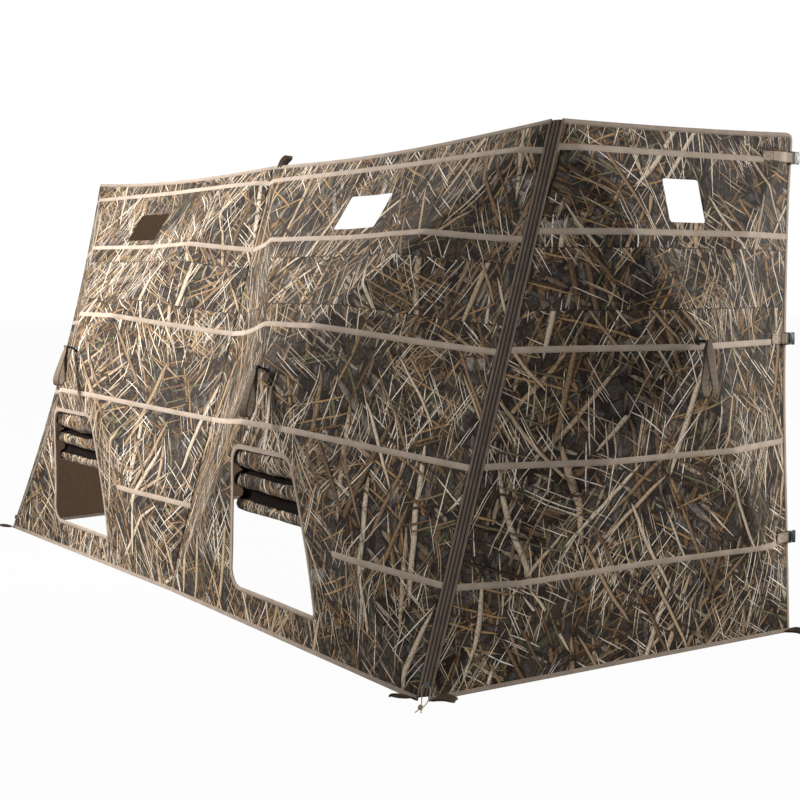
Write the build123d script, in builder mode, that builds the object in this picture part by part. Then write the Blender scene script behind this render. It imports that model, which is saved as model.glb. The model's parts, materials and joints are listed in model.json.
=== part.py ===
from build123d import *
import os
from math import cos, radians, sin, tan

# Pop up ground blind: two hub panels make a front wall that leans back, one hub panel closes
# each end, and the back is open. Each panel is cloth that a hub and four poles hold out as a
# shallow pyramid. Millimetres, +X along the front wall, -Y to the front, +Z up.

os.makedirs("parts", exist_ok=True)

# ---------------------------------------------------------------- driving sizes
wall_height = 1470.0  # floor to top corners
wall_lean = 425.0  # how far back the front wall's top stands
panel_width = 1480.0  # one front panel, corner to seam
end_depth = 1310.0  # end panel along the floor
rear_step = 15.0  # rear edge: top stands this much nearer the front than its foot
rear_rise = 11.0  # and this much above the zipped corner's top
rear_round = 28.0
seam_drop = 22.0  # top corners beside the centre seam hang this much lower
seam_turn = 2.2  # degrees that the left front panel turns at the seam
end_flare = 3.0  # degrees that an end panel opens past square
front_bulge = 234.0  # hub flat above the plane of a front panel's corners
end_bulge = 146.0  # the same on an end panel
hub_flat = 30.0  # least half width of the flat patch at the hub
top_sag = 22.0  # front top edge, pulled down between its corners
end_top_sag = 4.0
rear_sag = 30.0  # free rear edge, pulled in between its corners

cloth = 2.0  # cloth thickness
tape = 1.2  # binding tape thickness
tape_width = 13.0  # binding tape, folded width on each face
web = 1.6  # webbing thickness
strip_width = 17.0  # brush strips
strip_heights = (295.0, 600.0, 905.0, 1205.0, 1445.0)  # up the slope of a front panel
end_strip_heights = (280.0, 580.0, 875.0, 1180.0, 1398.0)
low_strip_gap = 115.0  # the lowest strip stays this far from a door
# height and length of each strap tail, and how far its eye stands inside the rear edge
tails = ((293.0, 56.0, 9.0), (883.0, 67.0, 14.0), (1408.0, 122.0, 14.0))
seam_gap = 0.6  # between the two front skins
zip_width = 30.0  # ribbed band at a zipped corner
zip_thick = 3.0
zip_play = 2.5  # band to each skin
zip_ribs = 4
rib_width = 3.4
rib_height = 1.4

window_size = (228.0, 117.0)
window_centre = (742.0, 1294.0)  # from the seam side for both front panels
end_window_size = (133.0, 119.0)
end_window_centre = (826.0, 1268.0)
window_round = 8.0
door_foot_height = 105.0
door_head_height = 520.0
door_foot_width = 505.0
door_head_width = 335.0
door_head_shift = -20.0  # the head's middle from the foot's middle
door_centre = 695.0
left_door_shift = 25.0  # the left panel's door stands this much further along
door_round = 48.0

hub_boss_radius = 24.0
hub_boss_height = 5.0
hub_radius = 42.0
hub_thick = 18.0
pivot_radius = 34.0  # pole pins from the hub's middle
pin_radius = 2.5
pin_length = 26.0
slot_play = 0.95  # pole to slot wall
swing_room = 6.5  # slot length behind the pin, for the pole's end as it swings
bolt_radius = 4.0
pole_radius = 4.75
pin_play = 0.08
tip_inset = 60.0  # pole tip from the panel's corner
tip_drop = 8.5  # middle of the tip below the ridge
tip_travel = 25.0  # room for the tip to run outwards as the hub goes in
pocket_wall = 1.9
pocket_grip = 10.0  # pole length inside the pocket's mouth at rest
pocket_play = 1.0

cap_radius = 11.0
cap_thick = 3.0
stem_radius = 3.5
bar_radius = 2.5
bar_rise = 38.0  # bar above the cap's back
ear_width = 3.6
ear_depth = 7.0
yoke_thick = 3.5
yoke_gap = 1.0  # yoke to the loop's eye
loop_width = 32.0
loop_length = 150.0
loop_eye_width = 20.0
loop_neck = 14.0  # the loop is narrow this far below its bar
eye_play = 0.5
loop_bow = 18.0  # half the depth of the hanging loop

buckle_length = 34.0
buckle_height = 37.0
buckle_thick = 8.0
buckle_side = 3.5

flap_drop = 215.0
flap_folds = 3
flap_depth = 44.0
flap_gap = 0.6
flap_overlap = 8.0
flap_to_ridge = 20.0  # keeps the folds beside the pole, measured along the panel

stake_loop_length = 62.0
stake_loop_width = 18.0
stake_loop_inset = 12.0  # from the hem's end
top_loop_width = 25.0
top_loop_rise = 22.0

slider_length = 16.0
slider_width = 12.0
slider_thick = 6.0
slider_start = 46.0  # slider above the floor, along the corner
cord_radius = 1.5
eye_fold = 4.5  # the cord's tightest bend, at the slider's eye
knot_size = 9.6
knot_length = 10.0
knot_round = 2.9

reach = 700.0  # longer than any cut has to be
skirt = 1.08  # facets run on past the corners by this scale
close = 0.3  # least gap between bodies

eye_inner = bar_radius + eye_play
eye_outer = eye_inner + web
eye_lift = tape + eye_outer + close  # middle of a strap tail's eye above the cloth
tail_width = buckle_height - 2 * (buckle_side + close)
slot_width = 2 * (pole_radius + slot_play)


# ---------------------------------------------------------------- the four panels
def floor_dir(angle):
    return Vector(cos(radians(angle)), sin(radians(angle)), 0)


up = Vector(0, wall_lean, wall_height)  # every front-to-end corner leans back along this
corner_cut = zip_width / 2**0.5  # skins stop this far short of a zipped corner

seam_foot = Vector(0, 0, 0)
right_foot = seam_foot + floor_dir(0) * panel_width
left_foot = seam_foot - floor_dir(seam_turn) * panel_width
rear_right_foot = right_foot + floor_dir(90 - end_flare) * end_depth
rear_left_foot = left_foot + floor_dir(90 + seam_turn + end_flare) * end_depth


def cross_point(a, b, c, d):
    """Where the lines a-b and c-d meet."""
    run, other = b - a, d - c
    turn = run.X * other.Y - run.Y * other.X
    share = ((c.X - a.X) * other.Y - (c.Y - a.Y) * other.X) / turn
    return a + run * share


def inset(corners, gaps):
    """The same outline with each edge moved inwards by its own gap."""
    lines = []
    for i, gap in enumerate(gaps):
        a, b = corners[i], corners[(i + 1) % 4]
        inward = Vector(a.Y - b.Y, b.X - a.X, 0).normalized() * gap
        lines.append((a + inward, b + inward))
    return [cross_point(*lines[i - 1], *lines[i]) for i in range(4)]


class Panel:
    """One hub panel: its own plane, corners in that plane, hub and edges.

    The edges run foot, far side, top, near side, seen from outside."""

    def __init__(self, name, foot, far_foot, tops, sides, sags, bound, bulge):
        along = (far_foot - foot).normalized()
        self.name = name
        self.foot = foot
        self.along = along
        self.plane = Plane(origin=foot, x_dir=along, z_dir=along.cross(up).normalized())
        self.up = self.plane.y_dir
        width = (far_foot - foot).length
        near_top, far_top = (self.flat_place(top) for top in tops)
        corners = [Vector(0, 0, 0), Vector(width, 0, 0), far_top, near_top]
        self.corners = inset(corners, (0, sides[1], 0, sides[0]))
        self.sags = sags
        self.bound = bound
        self.bulge = bulge
        self.hub = cross_point(self.corners[0], self.corners[2], self.corners[1], self.corners[3])
        self.flat = hub_flat / min(self.edge_distance(i) for i in range(4))
        self.apex = bulge / (1 - self.flat)

    def flat_place(self, point):
        place = self.plane.to_local_coords(point)
        return Vector(place.X, place.Y, 0)

    def world(self, u, v, w=0.0):
        return self.plane.from_local_coords(Vector(u, v, w))

    def edge_distance(self, i):
        a, b = self.corners[i], self.corners[(i + 1) % 4]
        run = b - a
        return abs(run.X * (self.hub.Y - a.Y) - run.Y * (self.hub.X - a.X)) / run.length

    def height_at(self, u, v):
        """How far the facets stand above the plane of the corners."""
        shares = []
        for i in range(4):
            a, run = self.corners[i], self.corners[(i + 1) % 4] - self.corners[i]
            at_hub = run.X * (self.hub.Y - a.Y) - run.Y * (self.hub.X - a.X)
            shares.append((run.X * (v - a.Y) - run.Y * (u - a.X)) / at_hub)
        return min(self.apex * min(shares), self.bulge)

    def scaled(self, share):
        return [self.hub + (corner - self.hub) * share for corner in self.corners]

    def ridge(self, corner, from_corner):
        """A point on the line from a corner to the hub, and the facets' height there."""
        run = self.hub - corner
        share = from_corner / run.length
        point = corner + run * share
        return Vector(point.X, point.Y, self.apex * share)


seam_top = up - up.normalized() * seam_drop
rear_top_right = rear_right_foot + Vector(0, 0, wall_height + rear_rise)
rear_top_right -= floor_dir(90 - end_flare) * rear_step
rear_top_left = rear_left_foot + Vector(0, 0, wall_height + rear_rise)
rear_top_left -= floor_dir(90 + seam_turn + end_flare) * rear_step

front_right = Panel(
    "front_right", seam_foot, right_foot, (seam_top, right_foot + up),
    (seam_gap / 2, corner_cut), (0, 0, top_sag, 0), (True, False, True, False), front_bulge,
)
front_left = Panel(
    "front_left", left_foot, seam_foot, (left_foot + up, seam_top),
    (corner_cut, seam_gap / 2), (0, 0, top_sag, 0), (True, False, True, False), front_bulge,
)
end_right = Panel(
    "end_right", right_foot, rear_right_foot, (right_foot + up, rear_top_right),
    (corner_cut, 0), (0, rear_sag, end_top_sag, 0), (True, True, True, False), end_bulge,
)
end_left = Panel(
    "end_left", rear_left_foot, left_foot, (rear_top_left, left_foot + up),
    (0, corner_cut), (0, 0, end_top_sag, rear_sag), (True, False, True, True), end_bulge,
)
panels = (front_right, front_left, end_right, end_left)
for panel in panels:
    panel.mirrored = panel in (front_left, end_left)  # its outer end is at its low x
    panel.door_shift = left_door_shift if panel is front_left else 0.0

# which end of the hem a stake loop is sewn to, and the way it points on the floor
front_right.stake_loops = ((1, 235),)
front_left.stake_loops = ((0, 235),)
end_right.stake_loops = ((0, 38), (1, 20))
end_left.stake_loops = ((1, 142), (0, 160))


def outline(panel, gaps):
    """A panel's outline with each edge moved in by its gap and pulled in by its sag."""
    points = inset(panel.corners, gaps)
    with BuildSketch() as face:
        with BuildLine():
            for i, sag in enumerate(panel.sags):
                a, b = points[i], points[(i + 1) % 4]
                inward = Vector(a.Y - b.Y, b.X - a.X, 0).normalized() * sag
                if sag:
                    ThreePointArc(a, (a + b) / 2 + inward, b)
                else:
                    Line(a, b)
        make_face()
        if not is_front(panel):
            rear = face.vertices().sort_by(Axis.Y)[-2:].sort_by(Axis.X)[0 if panel.mirrored else -1]
            fillet(rear, rear_round - max(gaps[2], 0.0))
    return face.sketch


def pyramid(panel, lift):
    """The panel's facets as one solid, lifted off the cloth's outer face."""
    with BuildPart() as solid:
        with BuildSketch(panel.plane.offset(lift - panel.apex * (skirt - 1))):
            Polygon(*[tuple(p)[:2] for p in panel.scaled(skirt)], align=None)
        with BuildSketch(panel.plane.offset(lift + panel.bulge)):
            Polygon(*[tuple(p)[:2] for p in panel.scaled(panel.flat)], align=None)
        loft(ruled=True)
    return solid.part


def layer(panel, low, high):
    """The space between two heights over the facets."""
    top, bottom = pyramid(panel, high), pyramid(panel, low)
    with BuildPart() as solid:
        add(top)
        add(bottom, mode=Mode.SUBTRACT)
    return solid.part


def is_front(panel):
    return panel in (front_right, front_left)


def from_outer(panel, u):
    """A place measured from the panel's seam or corner side, in the panel's own x."""
    width = panel.corners[1].X
    return width - u if panel.mirrored else u


def window_face(panel, grow=0.0):
    size, centre = (window_size, window_centre) if is_front(panel) else (end_window_size, end_window_centre)
    if not is_front(panel):
        centre = (from_outer(panel, centre[0]), centre[1])
    with BuildSketch() as face:
        with Locations(centre):
            RectangleRounded(size[0] + 2 * grow, size[1] + 2 * grow, window_round + grow)
    return face.sketch


def door_corners(panel, grow=0.0):
    foot, head = door_foot_width / 2 + grow, door_head_width / 2 + grow
    low, high = door_foot_height - grow, door_head_height + grow
    at_foot = door_centre + panel.door_shift
    at_head = at_foot + door_head_shift
    return [
        Vector(at_foot - foot, low), Vector(at_foot + foot, low),
        Vector(at_head + head, high), Vector(at_head - head, high),
    ]


def door_face(panel, grow=0.0):
    with BuildSketch() as face:
        Polygon(*[tuple(p)[:2] for p in door_corners(panel, grow)], align=None)
        sharp = face.vertices().sort_by(Axis.X)[-1]
        fillet([v for v in face.vertices() if v != sharp], door_round + grow)
        fillet(face.vertices().sort_by(Axis.X)[-1], 6.0 + grow)
    return face.sketch


# ---------------------------------------------------------------- cloth, tape and webbing
def cloth_gaps(panel):
    return [tape if tied else 0.0 for tied in panel.bound]


def make_cloth(panel, holes=True):
    body = layer(panel, -cloth, 0)
    with BuildPart() as skin:
        add(body)
        with BuildSketch(panel.plane.offset(-reach)):
            add(outline(panel, cloth_gaps(panel)))
            if holes:
                add(window_face(panel), mode=Mode.SUBTRACT)
                if is_front(panel):
                    add(door_face(panel), mode=Mode.SUBTRACT)
                with Locations((panel.hub.X, panel.hub.Y)):
                    Circle(bolt_radius + close, mode=Mode.SUBTRACT)
        extrude(amount=2 * reach, mode=Mode.INTERSECT)
    return skin.part


def make_stake_loop(panel, corner, angle):
    """A flat loop of doubled webbing lying on the floor, sewn to the hem beside a corner."""
    way = 1 if corner == 0 else -1
    foot = panel.world(panel.corners[corner].X + way * stake_loop_inset, 0)
    straight = stake_loop_length - stake_loop_width / 2
    with BuildPart() as loop:
        with BuildSketch(Plane(origin=foot, x_dir=floor_dir(angle), z_dir=(0, 0, 1))):
            Rectangle(2 * straight, stake_loop_width)
            with Locations((straight, 0)):
                Circle(stake_loop_width / 2)
        extrude(amount=2 * web)
        split(bisect_by=panel.plane, keep=Keep.TOP)
    return loop.part


def make_binding(panel, blank):
    """Tape folded over the free edges and round the door, with the hem's stake loops."""
    body = layer(panel, -cloth - tape, tape)
    outer = outline(panel, [0.0 for tied in panel.bound])
    inner = outline(panel, [tape_width if tied else -2 * tape for tied in panel.bound])
    loops = [make_stake_loop(panel, corner, angle) for corner, angle in panel.stake_loops]
    ring, hole = None, None
    if is_front(panel):
        ring, hole = door_face(panel, tape_width), door_face(panel, tape)
    with BuildPart() as binding:
        add(body)
        with BuildSketch(panel.plane.offset(-reach)):
            add(outer)
            add(inner, mode=Mode.SUBTRACT)
            if ring:
                add(ring)
                add(hole, mode=Mode.SUBTRACT)
        extrude(amount=2 * reach, mode=Mode.INTERSECT)
        add(loops)
        add(blank, mode=Mode.SUBTRACT)
        split(bisect_by=Plane.XY, keep=Keep.TOP)
    return binding.part


def rear_x(panel, height):
    """The free rear edge's x at a height, with its sag."""
    a, b = (panel.corners[i] for i in ((0, 3) if panel.mirrored else (1, 2)))
    share = height / b.Y
    pull = 4 * rear_sag * share * (1 - share)
    edge = a.X + (b.X - a.X) * share
    return edge + pull if panel.mirrored else edge - pull


def tail_out(panel):
    """Which way along the panel its strap tails point."""
    return -1 if panel.mirrored else 1


def tail_eye(panel, height, inside):
    """The middle of the eye at the end of a strap tail, in the panel's own axes."""
    place = rear_x(panel, height) - tail_out(panel) * inside
    return Vector(place, height, panel.height_at(place, height) + eye_lift)


def strip_spans(panel):
    """Each strip's height and the x it starts and ends at."""
    far_left, far_right = -reach, 4 * reach
    if is_front(panel):
        beside_door = door_corners(panel)[1].X + low_strip_gap
        lowest, *others = strip_heights
        return [(lowest, beside_door, far_right)] + [(h, far_left, far_right) for h in others]
    spans = []
    for i, height in enumerate(end_strip_heights):
        start, end = far_left, far_right
        if i % 2 == 0:
            level, length, inside = tails[i // 2]
            stop = tail_eye(panel, level, inside).X - tail_out(panel) * length
            start, end = (stop, end) if panel.mirrored else (start, stop)
        spans.append((height, start, end))
    return spans


def make_webbing(panel):
    """The brush strips, sewn flat on the cloth and stopped beside the cap."""
    body = layer(panel, 0, web)
    field = outline(panel, [tape_width if tied else close for tied in panel.bound])
    with BuildPart() as strips:
        add(body)
        with BuildSketch(panel.plane.offset(-reach)):
            for height, start, end in strip_spans(panel):
                with Locations(((start + end) / 2, height)):
                    Rectangle(end - start, strip_width)
            add(field, mode=Mode.INTERSECT)
            with Locations((panel.hub.X, panel.hub.Y)):
                Circle(cap_radius + close, mode=Mode.SUBTRACT)
        extrude(amount=2 * reach, mode=Mode.INTERSECT)
    return strips.part


def make_tails(panel, binding):
    """Wide strap tails over the rear binding, each ending in an eye for its buckle."""
    body = layer(panel, 0, tape + web)
    eyes = [tail_eye(panel, height, inside) for height, length, inside in tails]
    middles = [Plane(origin=panel.world(*eye), x_dir=panel.along, z_dir=panel.up) for eye in eyes]
    with BuildPart() as straps:
        add(body)
        with BuildSketch(panel.plane.offset(-reach)):
            for eye, (height, length, inside) in zip(eyes, tails):
                with Locations((eye.X - tail_out(panel) * length / 2, height)):
                    Rectangle(length, tail_width)
        extrude(amount=2 * reach, mode=Mode.INTERSECT)
        add(binding, mode=Mode.SUBTRACT)
        for middle in middles:
            with BuildSketch(middle.offset(-tail_width / 2)):
                Circle(eye_outer)
            extrude(amount=tail_width)
        for middle in middles:
            with BuildSketch(middle.offset(-tail_width)):
                Circle(eye_inner)
            extrude(amount=2 * tail_width, mode=Mode.SUBTRACT)
    return straps.part


def make_buckle(panel, height, inside):
    """One half of a side buckle: a bar in the tail's eye, two arms and a plate."""
    eye = tail_eye(panel, height, inside)
    middle = Plane(origin=panel.world(*eye), x_dir=panel.along * tail_out(panel), z_dir=panel.up)
    arm_out = eye_outer + close
    with BuildPart() as buckle:
        with BuildSketch(middle.offset(-buckle_height / 2)):
            Circle(bar_radius)
        extrude(amount=buckle_height)
        with BuildSketch(middle.offset(-buckle_height / 2)):
            with Locations((arm_out + (buckle_length - arm_out) / 2, 0)):
                RectangleRounded(buckle_length - arm_out, buckle_thick, buckle_thick / 4)
        extrude(amount=buckle_height)
        for side in (-1, 1):
            place = side * (buckle_height - buckle_side) / 2 - buckle_side / 2
            with BuildSketch(middle.offset(place)):
                with Locations((arm_out / 2, 0)):
                    SlotOverall(arm_out + buckle_thick, buckle_thick)
            extrude(amount=buckle_side)
    return buckle.part


# ---------------------------------------------------------------- hub, poles and pockets
hub_top = -cloth - close  # hub's face under the cloth, from the flat patch
pivot_drop = -hub_top + hub_boss_height + hub_thick / 2  # pole pins below the flat patch


def pole_line(panel, corner):
    """A pole's pin and tip, and its direction as seen square on, in the panel's axes."""
    outward = (corner - panel.hub).normalized()
    pin = panel.hub + outward * pivot_radius
    tip = panel.ridge(corner, tip_inset)
    return Vector(pin.X, pin.Y, panel.bulge - pivot_drop), Vector(tip.X, tip.Y, tip.Z - tip_drop), outward


def pole_frame(panel, corner):
    """Plane at a pole's pin: x along the pole, y along the pin."""
    pin, tip, outward = pole_line(panel, corner)
    start, end = panel.world(*pin), panel.world(*tip)
    side = panel.world(*(pin + Vector(-outward.Y, outward.X, 0))) - start
    run = (end - start).normalized()
    return Plane(origin=start, x_dir=run, z_dir=run.cross(side)), (end - start).length


def make_pole(panel, corner):
    frame, length = pole_frame(panel, corner)
    across = Plane(origin=frame.origin, x_dir=frame.y_dir, z_dir=frame.x_dir)
    cheek = Plane(origin=frame.origin, x_dir=frame.x_dir, z_dir=frame.y_dir)
    with BuildPart() as pole:
        with BuildSketch(across.offset(-pole_radius)):
            Circle(pole_radius)
        extrude(amount=length + pole_radius)
        with BuildSketch(cheek.offset(-pole_radius * 2)):
            Circle(pin_radius + pin_play)
        extrude(amount=pole_radius * 4, mode=Mode.SUBTRACT)
    return pole.part


def make_hub(panel):
    """A moulding with four open slots, and a steel pin across each slot."""
    flat = panel.plane.offset(panel.bulge + hub_top)
    low = -hub_boss_height - hub_thick
    slot_start, slot_end = pivot_radius - swing_room, 2 * hub_radius
    with BuildPart() as hub:
        with BuildSketch(flat.offset(-hub_boss_height)):
            with Locations((panel.hub.X, panel.hub.Y)):
                Circle(hub_boss_radius)
        extrude(amount=hub_boss_height)
        with BuildSketch(flat.offset(low)):
            with Locations((panel.hub.X, panel.hub.Y)):
                Circle(hub_radius)
        extrude(amount=hub_thick)
        for corner in panel.corners:
            outward = pole_line(panel, corner)[2]
            turn = Vector(1, 0, 0).get_signed_angle(outward, Vector(0, 0, 1))
            with BuildSketch(flat.offset(low)):
                place = panel.hub + outward * (slot_start + slot_end) / 2
                with Locations(Location((place.X, place.Y, 0), (0, 0, turn))):
                    Rectangle(slot_end - slot_start, slot_width)
            extrude(amount=hub_thick, mode=Mode.SUBTRACT)
        with BuildSketch(flat.offset(2 * low)):
            with Locations((panel.hub.X, panel.hub.Y)):
                Circle(bolt_radius)
        extrude(amount=-3 * low, mode=Mode.SUBTRACT)
        for corner in panel.corners:
            frame = pole_frame(panel, corner)[0]
            with BuildSketch(Plane(origin=frame.origin, z_dir=frame.y_dir).offset(-pin_length / 2)):
                Circle(pin_radius)
            extrude(amount=pin_length)
    return hub.part


def make_pockets(panel, binding):
    """A stitched trough at each corner, open towards the hub and against the cloth."""
    lining = pyramid(panel, -cloth)
    end = tip_inset - tip_travel - pocket_wall
    mouth = tip_inset + pocket_grip
    inner = 2 * (pole_radius + pocket_play)
    places = []
    for corner in panel.corners:
        outward = (corner - panel.hub).normalized()
        turn = Vector(1, 0, 0).get_signed_angle(outward, Vector(0, 0, 1))
        floor = pole_line(panel, corner)[1].Z - pole_radius - pocket_play
        places.append((corner, outward, turn, floor))
    with BuildPart() as pockets:
        for corner, outward, turn, floor in places:
            middle = corner - outward * (end + mouth) / 2
            with BuildSketch(panel.plane.offset(floor - pocket_wall)):
                with Locations(Location((middle.X, middle.Y, 0), (0, 0, turn))):
                    Rectangle(mouth - end, inner + 2 * pocket_wall)
            extrude(amount=panel.bulge)
        add(lining, mode=Mode.INTERSECT)
        for corner, outward, turn, floor in places:
            middle = corner - outward * (end + pocket_wall + mouth + inner) / 2
            with BuildSketch(panel.plane.offset(floor)):
                with Locations(Location((middle.X, middle.Y, 0), (0, 0, turn))):
                    Rectangle(mouth + inner - end - pocket_wall, inner)
            extrude(amount=panel.bulge, mode=Mode.SUBTRACT)
        add(binding, mode=Mode.SUBTRACT)
    return pockets.part


# ---------------------------------------------------------------- cap and pull loop
bar_length = loop_eye_width + 2 * (close + ear_width)
yoke_top = bar_rise - eye_outer - yoke_gap


def loop_pivot(panel):
    """The bar that the pull loop hangs on, in the world."""
    return panel.world(panel.hub.X, panel.hub.Y, panel.bulge + close + bar_rise)


def make_cap(panel):
    """Outer cap with a bolt through the hub, and a stem and yoke that carry the loop's bar."""
    flat = panel.plane.offset(panel.bulge + close)
    across = Plane(origin=loop_pivot(panel), x_dir=panel.up, z_dir=panel.along)
    with BuildPart() as cap:
        with BuildSketch(flat):
            with Locations((panel.hub.X, panel.hub.Y)):
                Circle(cap_radius)
        extrude(amount=cap_thick)
        with BuildSketch(flat.offset(-hub_boss_height - hub_thick)):
            with Locations((panel.hub.X, panel.hub.Y)):
                Circle(bolt_radius - close / 2)
        extrude(amount=hub_boss_height + hub_thick)
        with BuildSketch(flat):
            with Locations((panel.hub.X, panel.hub.Y)):
                Circle(stem_radius)
        extrude(amount=yoke_top)
        with BuildSketch(flat.offset(yoke_top - yoke_thick)):
            with Locations((panel.hub.X, panel.hub.Y)):
                Rectangle(bar_length, ear_depth)
        extrude(amount=yoke_thick)
        for start in (-bar_length / 2, bar_length / 2 - ear_width):
            with BuildSketch(across.offset(start)):
                with Locations((0, -(eye_outer + yoke_gap) / 2)):
                    Rectangle(ear_depth, eye_outer + yoke_gap)
                Circle(ear_depth / 2)
            extrude(amount=ear_width)
        with BuildSketch(across.offset(-bar_length / 2)):
            Circle(bar_radius)
        extrude(amount=bar_length)
    return cap.part


def make_loop(panel):
    """A webbing loop that hangs open from the bar, sewn flat and narrow at its eye."""
    pivot = loop_pivot(panel)
    outward = Vector(panel.along.Y, -panel.along.X, 0)
    side = Plane(origin=pivot, x_dir=outward, z_dir=panel.along)
    hang = 1 if side.to_local_coords(pivot - Vector(0, 0, 1)).Y > 0 else -1
    neck = eye_outer + (loop_bow - eye_outer) * loop_neck / (0.78 * loop_length)
    belly, toe = 0.78 * loop_length, 0.95 * loop_length
    outside = [(neck, loop_neck), (loop_bow, belly), (0.62 * loop_bow, toe), (0, loop_length)]
    inside = [
        (neck - web, loop_neck + 2 * web), (loop_bow - web, belly),
        (0.62 * loop_bow - web, toe - web / 2), (0, loop_length - 1.3 * web),
    ]

    def drop(half):
        """The outline with its other half, turned to hang down."""
        return [(x, hang * y) for x, y in half] + [(-x, hang * y) for x, y in half[::-1] if x]

    with BuildPart() as loop:
        with BuildSketch(side.offset(-loop_width / 2)):
            Polygon(*drop(outside), align=None)
            Polygon(*drop(inside), align=None, mode=Mode.SUBTRACT)
        extrude(amount=loop_width)
        with BuildSketch(side.offset(-loop_eye_width / 2)):
            Polygon(*drop([(0.5 * eye_outer, 0), (neck, loop_neck)]), align=None)
            Circle(eye_outer)
        extrude(amount=loop_eye_width)
        with BuildSketch(side.offset(-loop_width)):
            Circle(eye_inner)
        extrude(amount=2 * loop_width, mode=Mode.SUBTRACT)
    return loop.part


# ---------------------------------------------------------------- door flaps
def flap_frame(panel):
    """Plane at the middle of a flap's seam: x inwards, y down the cloth."""
    head = door_head_height + tape_width
    place = door_centre + panel.door_shift + door_head_shift
    top, low = (
        panel.world(place, v, panel.height_at(place, v)) for v in (head, head - flap_drop)
    )
    inward = panel.along.cross(low - top).normalized()
    return Plane(origin=top + inward * (cloth + tape + flap_gap), x_dir=inward, z_dir=-panel.along)


def flap_outline(panel):
    """The folds' outline: past the door's sides, but beside the pole."""
    foot_left, foot_right, head_right, head_left = door_corners(panel, flap_overlap)
    foot, rise = foot_left.Y, head_left.Y - foot_left.Y
    corner, hub = panel.corners[0], panel.hub
    left, right = [], []
    for i in range(7):
        share = 0.2 * i
        v = foot + share * rise
        beside_pole = corner.X + (hub.X - corner.X) * v / hub.Y + flap_to_ridge
        left.append((max(foot_left.X + (head_left.X - foot_left.X) * share, beside_pole), v))
        right.append((foot_right.X + (head_right.X - foot_right.X) * share, v))
    return left + right[::-1]


def make_flap(panel):
    """The door's flap, folded up behind its head in fat folds."""
    side = flap_frame(panel)
    fold = flap_drop / flap_folds
    with BuildPart() as flap:
        with BuildSketch(side.offset(-door_foot_width)):
            for i in range(flap_folds):
                with Locations((flap_depth / 2, fold * (i + 0.5))):
                    Ellipse(flap_depth / 2, fold * 0.56)
            with Locations((flap_depth / 2, flap_drop / 2)):
                Rectangle(flap_depth * 0.6, flap_drop - fold * 0.4)
        extrude(amount=2 * door_foot_width)
        with BuildSketch(panel.plane.offset(-reach)):
            Polygon(*flap_outline(panel), align=None)
        extrude(amount=2 * reach, mode=Mode.INTERSECT)
    return flap.part


# ---------------------------------------------------------------- zipped corners
def zip_plane(front, end):
    """Plane across a zipped corner's band at the floor: x along the band, -y outwards."""
    steep = up.normalized()
    first, second = (front, end) if front is front_right else (end, front)
    foot = second.foot
    near = foot - in_plane(first, steep) * corner_cut
    far = foot + in_plane(second, steep) * corner_cut
    return Plane(origin=(near + far) / 2, x_dir=(far - near).normalized(), z_dir=steep)


def in_plane(panel, steep):
    """The panel's own direction square to the corner."""
    return (panel.along - steep * panel.along.dot(steep)).normalized()


def make_zip(front, end):
    base = zip_plane(front, end)
    width = zip_width - 2 * zip_play
    start, length = 3 * web, up.length - 8 * web
    pitch = (width - rib_width) / (zip_ribs - 1)
    with BuildPart() as band:
        with BuildSketch(base.offset(start)):
            with Locations((0, zip_thick / 2)):
                Rectangle(width, zip_thick)
            for i in range(zip_ribs):
                with Locations((-(width - rib_width) / 2 + i * pitch, -rib_height / 2)):
                    Rectangle(rib_width, rib_height + close)
        extrude(amount=length)
        split(bisect_by=Plane.XY.offset(close), keep=Keep.TOP)
    return band.part


def slider_middle(front, end):
    base = zip_plane(front, end)
    return base.from_local_coords(Vector(0, -rib_height - close - slider_thick / 2 - close, slider_start))


def make_slider(front, end):
    base = zip_plane(front, end)
    skin = -rib_height - 2 * close
    with BuildPart() as slider:
        with BuildSketch(base.offset(slider_start - slider_length / 2)):
            with Locations((0, skin - slider_thick / 2)):
                RectangleRounded(slider_width, slider_thick, 1.5)
        extrude(amount=slider_length)
        eye = Plane(origin=slider_middle(front, end), z_dir=base.x_dir)
        with BuildSketch(eye.offset(-slider_width)):
            Circle(cord_radius + close)
        extrude(amount=2 * slider_width, mode=Mode.SUBTRACT)
    return slider.part


def bend_radius(before, corner, after):
    """A limp bend takes 0.45 of its shorter run."""
    first, last = corner - before, after - corner
    return 0.45 * min(first.length, last.length) / tan(radians(first.get_angle(last)) / 2)


def make_pull_cord(front, end):
    """A thin cord through the slider's eye, both strands down to a knot on the floor."""
    eye = slider_middle(front, end)
    across = zip_plane(front, end).x_dir
    ground = Plane(origin=Vector(eye.X, eye.Y, 0), x_dir=across, z_dir=(0, 0, 1))
    lying = cord_radius + close
    lower = ((10.0, -10.0, eye.Z - 30.0), (6.0, -28.0, lying), (1.8, -70.0, lying), (7.0, -96.0, lying))
    left, right = (
        [eye + across * 11.0 * side] + [ground.from_local_coords(Vector(x * side, y, z)) for x, y, z in lower]
        for side in (-1, 1)
    )
    bends = [eye_fold] + [bend_radius(*right[i:i + 3]) for i in range(len(right) - 2)]
    print("cord bends, mm:", *(round(bend, 1) for bend in bends))
    knot = ground.from_local_coords(Vector(0, -70.0 + knot_length / 2, knot_size / 2 + close))
    with BuildPart() as cord:
        with BuildLine() as route:
            FilletPolyline(*left[::-1], *right, radius=bends[::-1] + bends)
        with BuildSketch(Plane(origin=route.line @ 0, z_dir=route.line % 0)):
            Circle(cord_radius)
        sweep()
        with BuildSketch(Plane(origin=knot, x_dir=ground.x_dir, z_dir=-ground.y_dir)):
            RectangleRounded(knot_size, knot_size, knot_round)
        extrude(amount=knot_length)
    return cord.part


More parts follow.
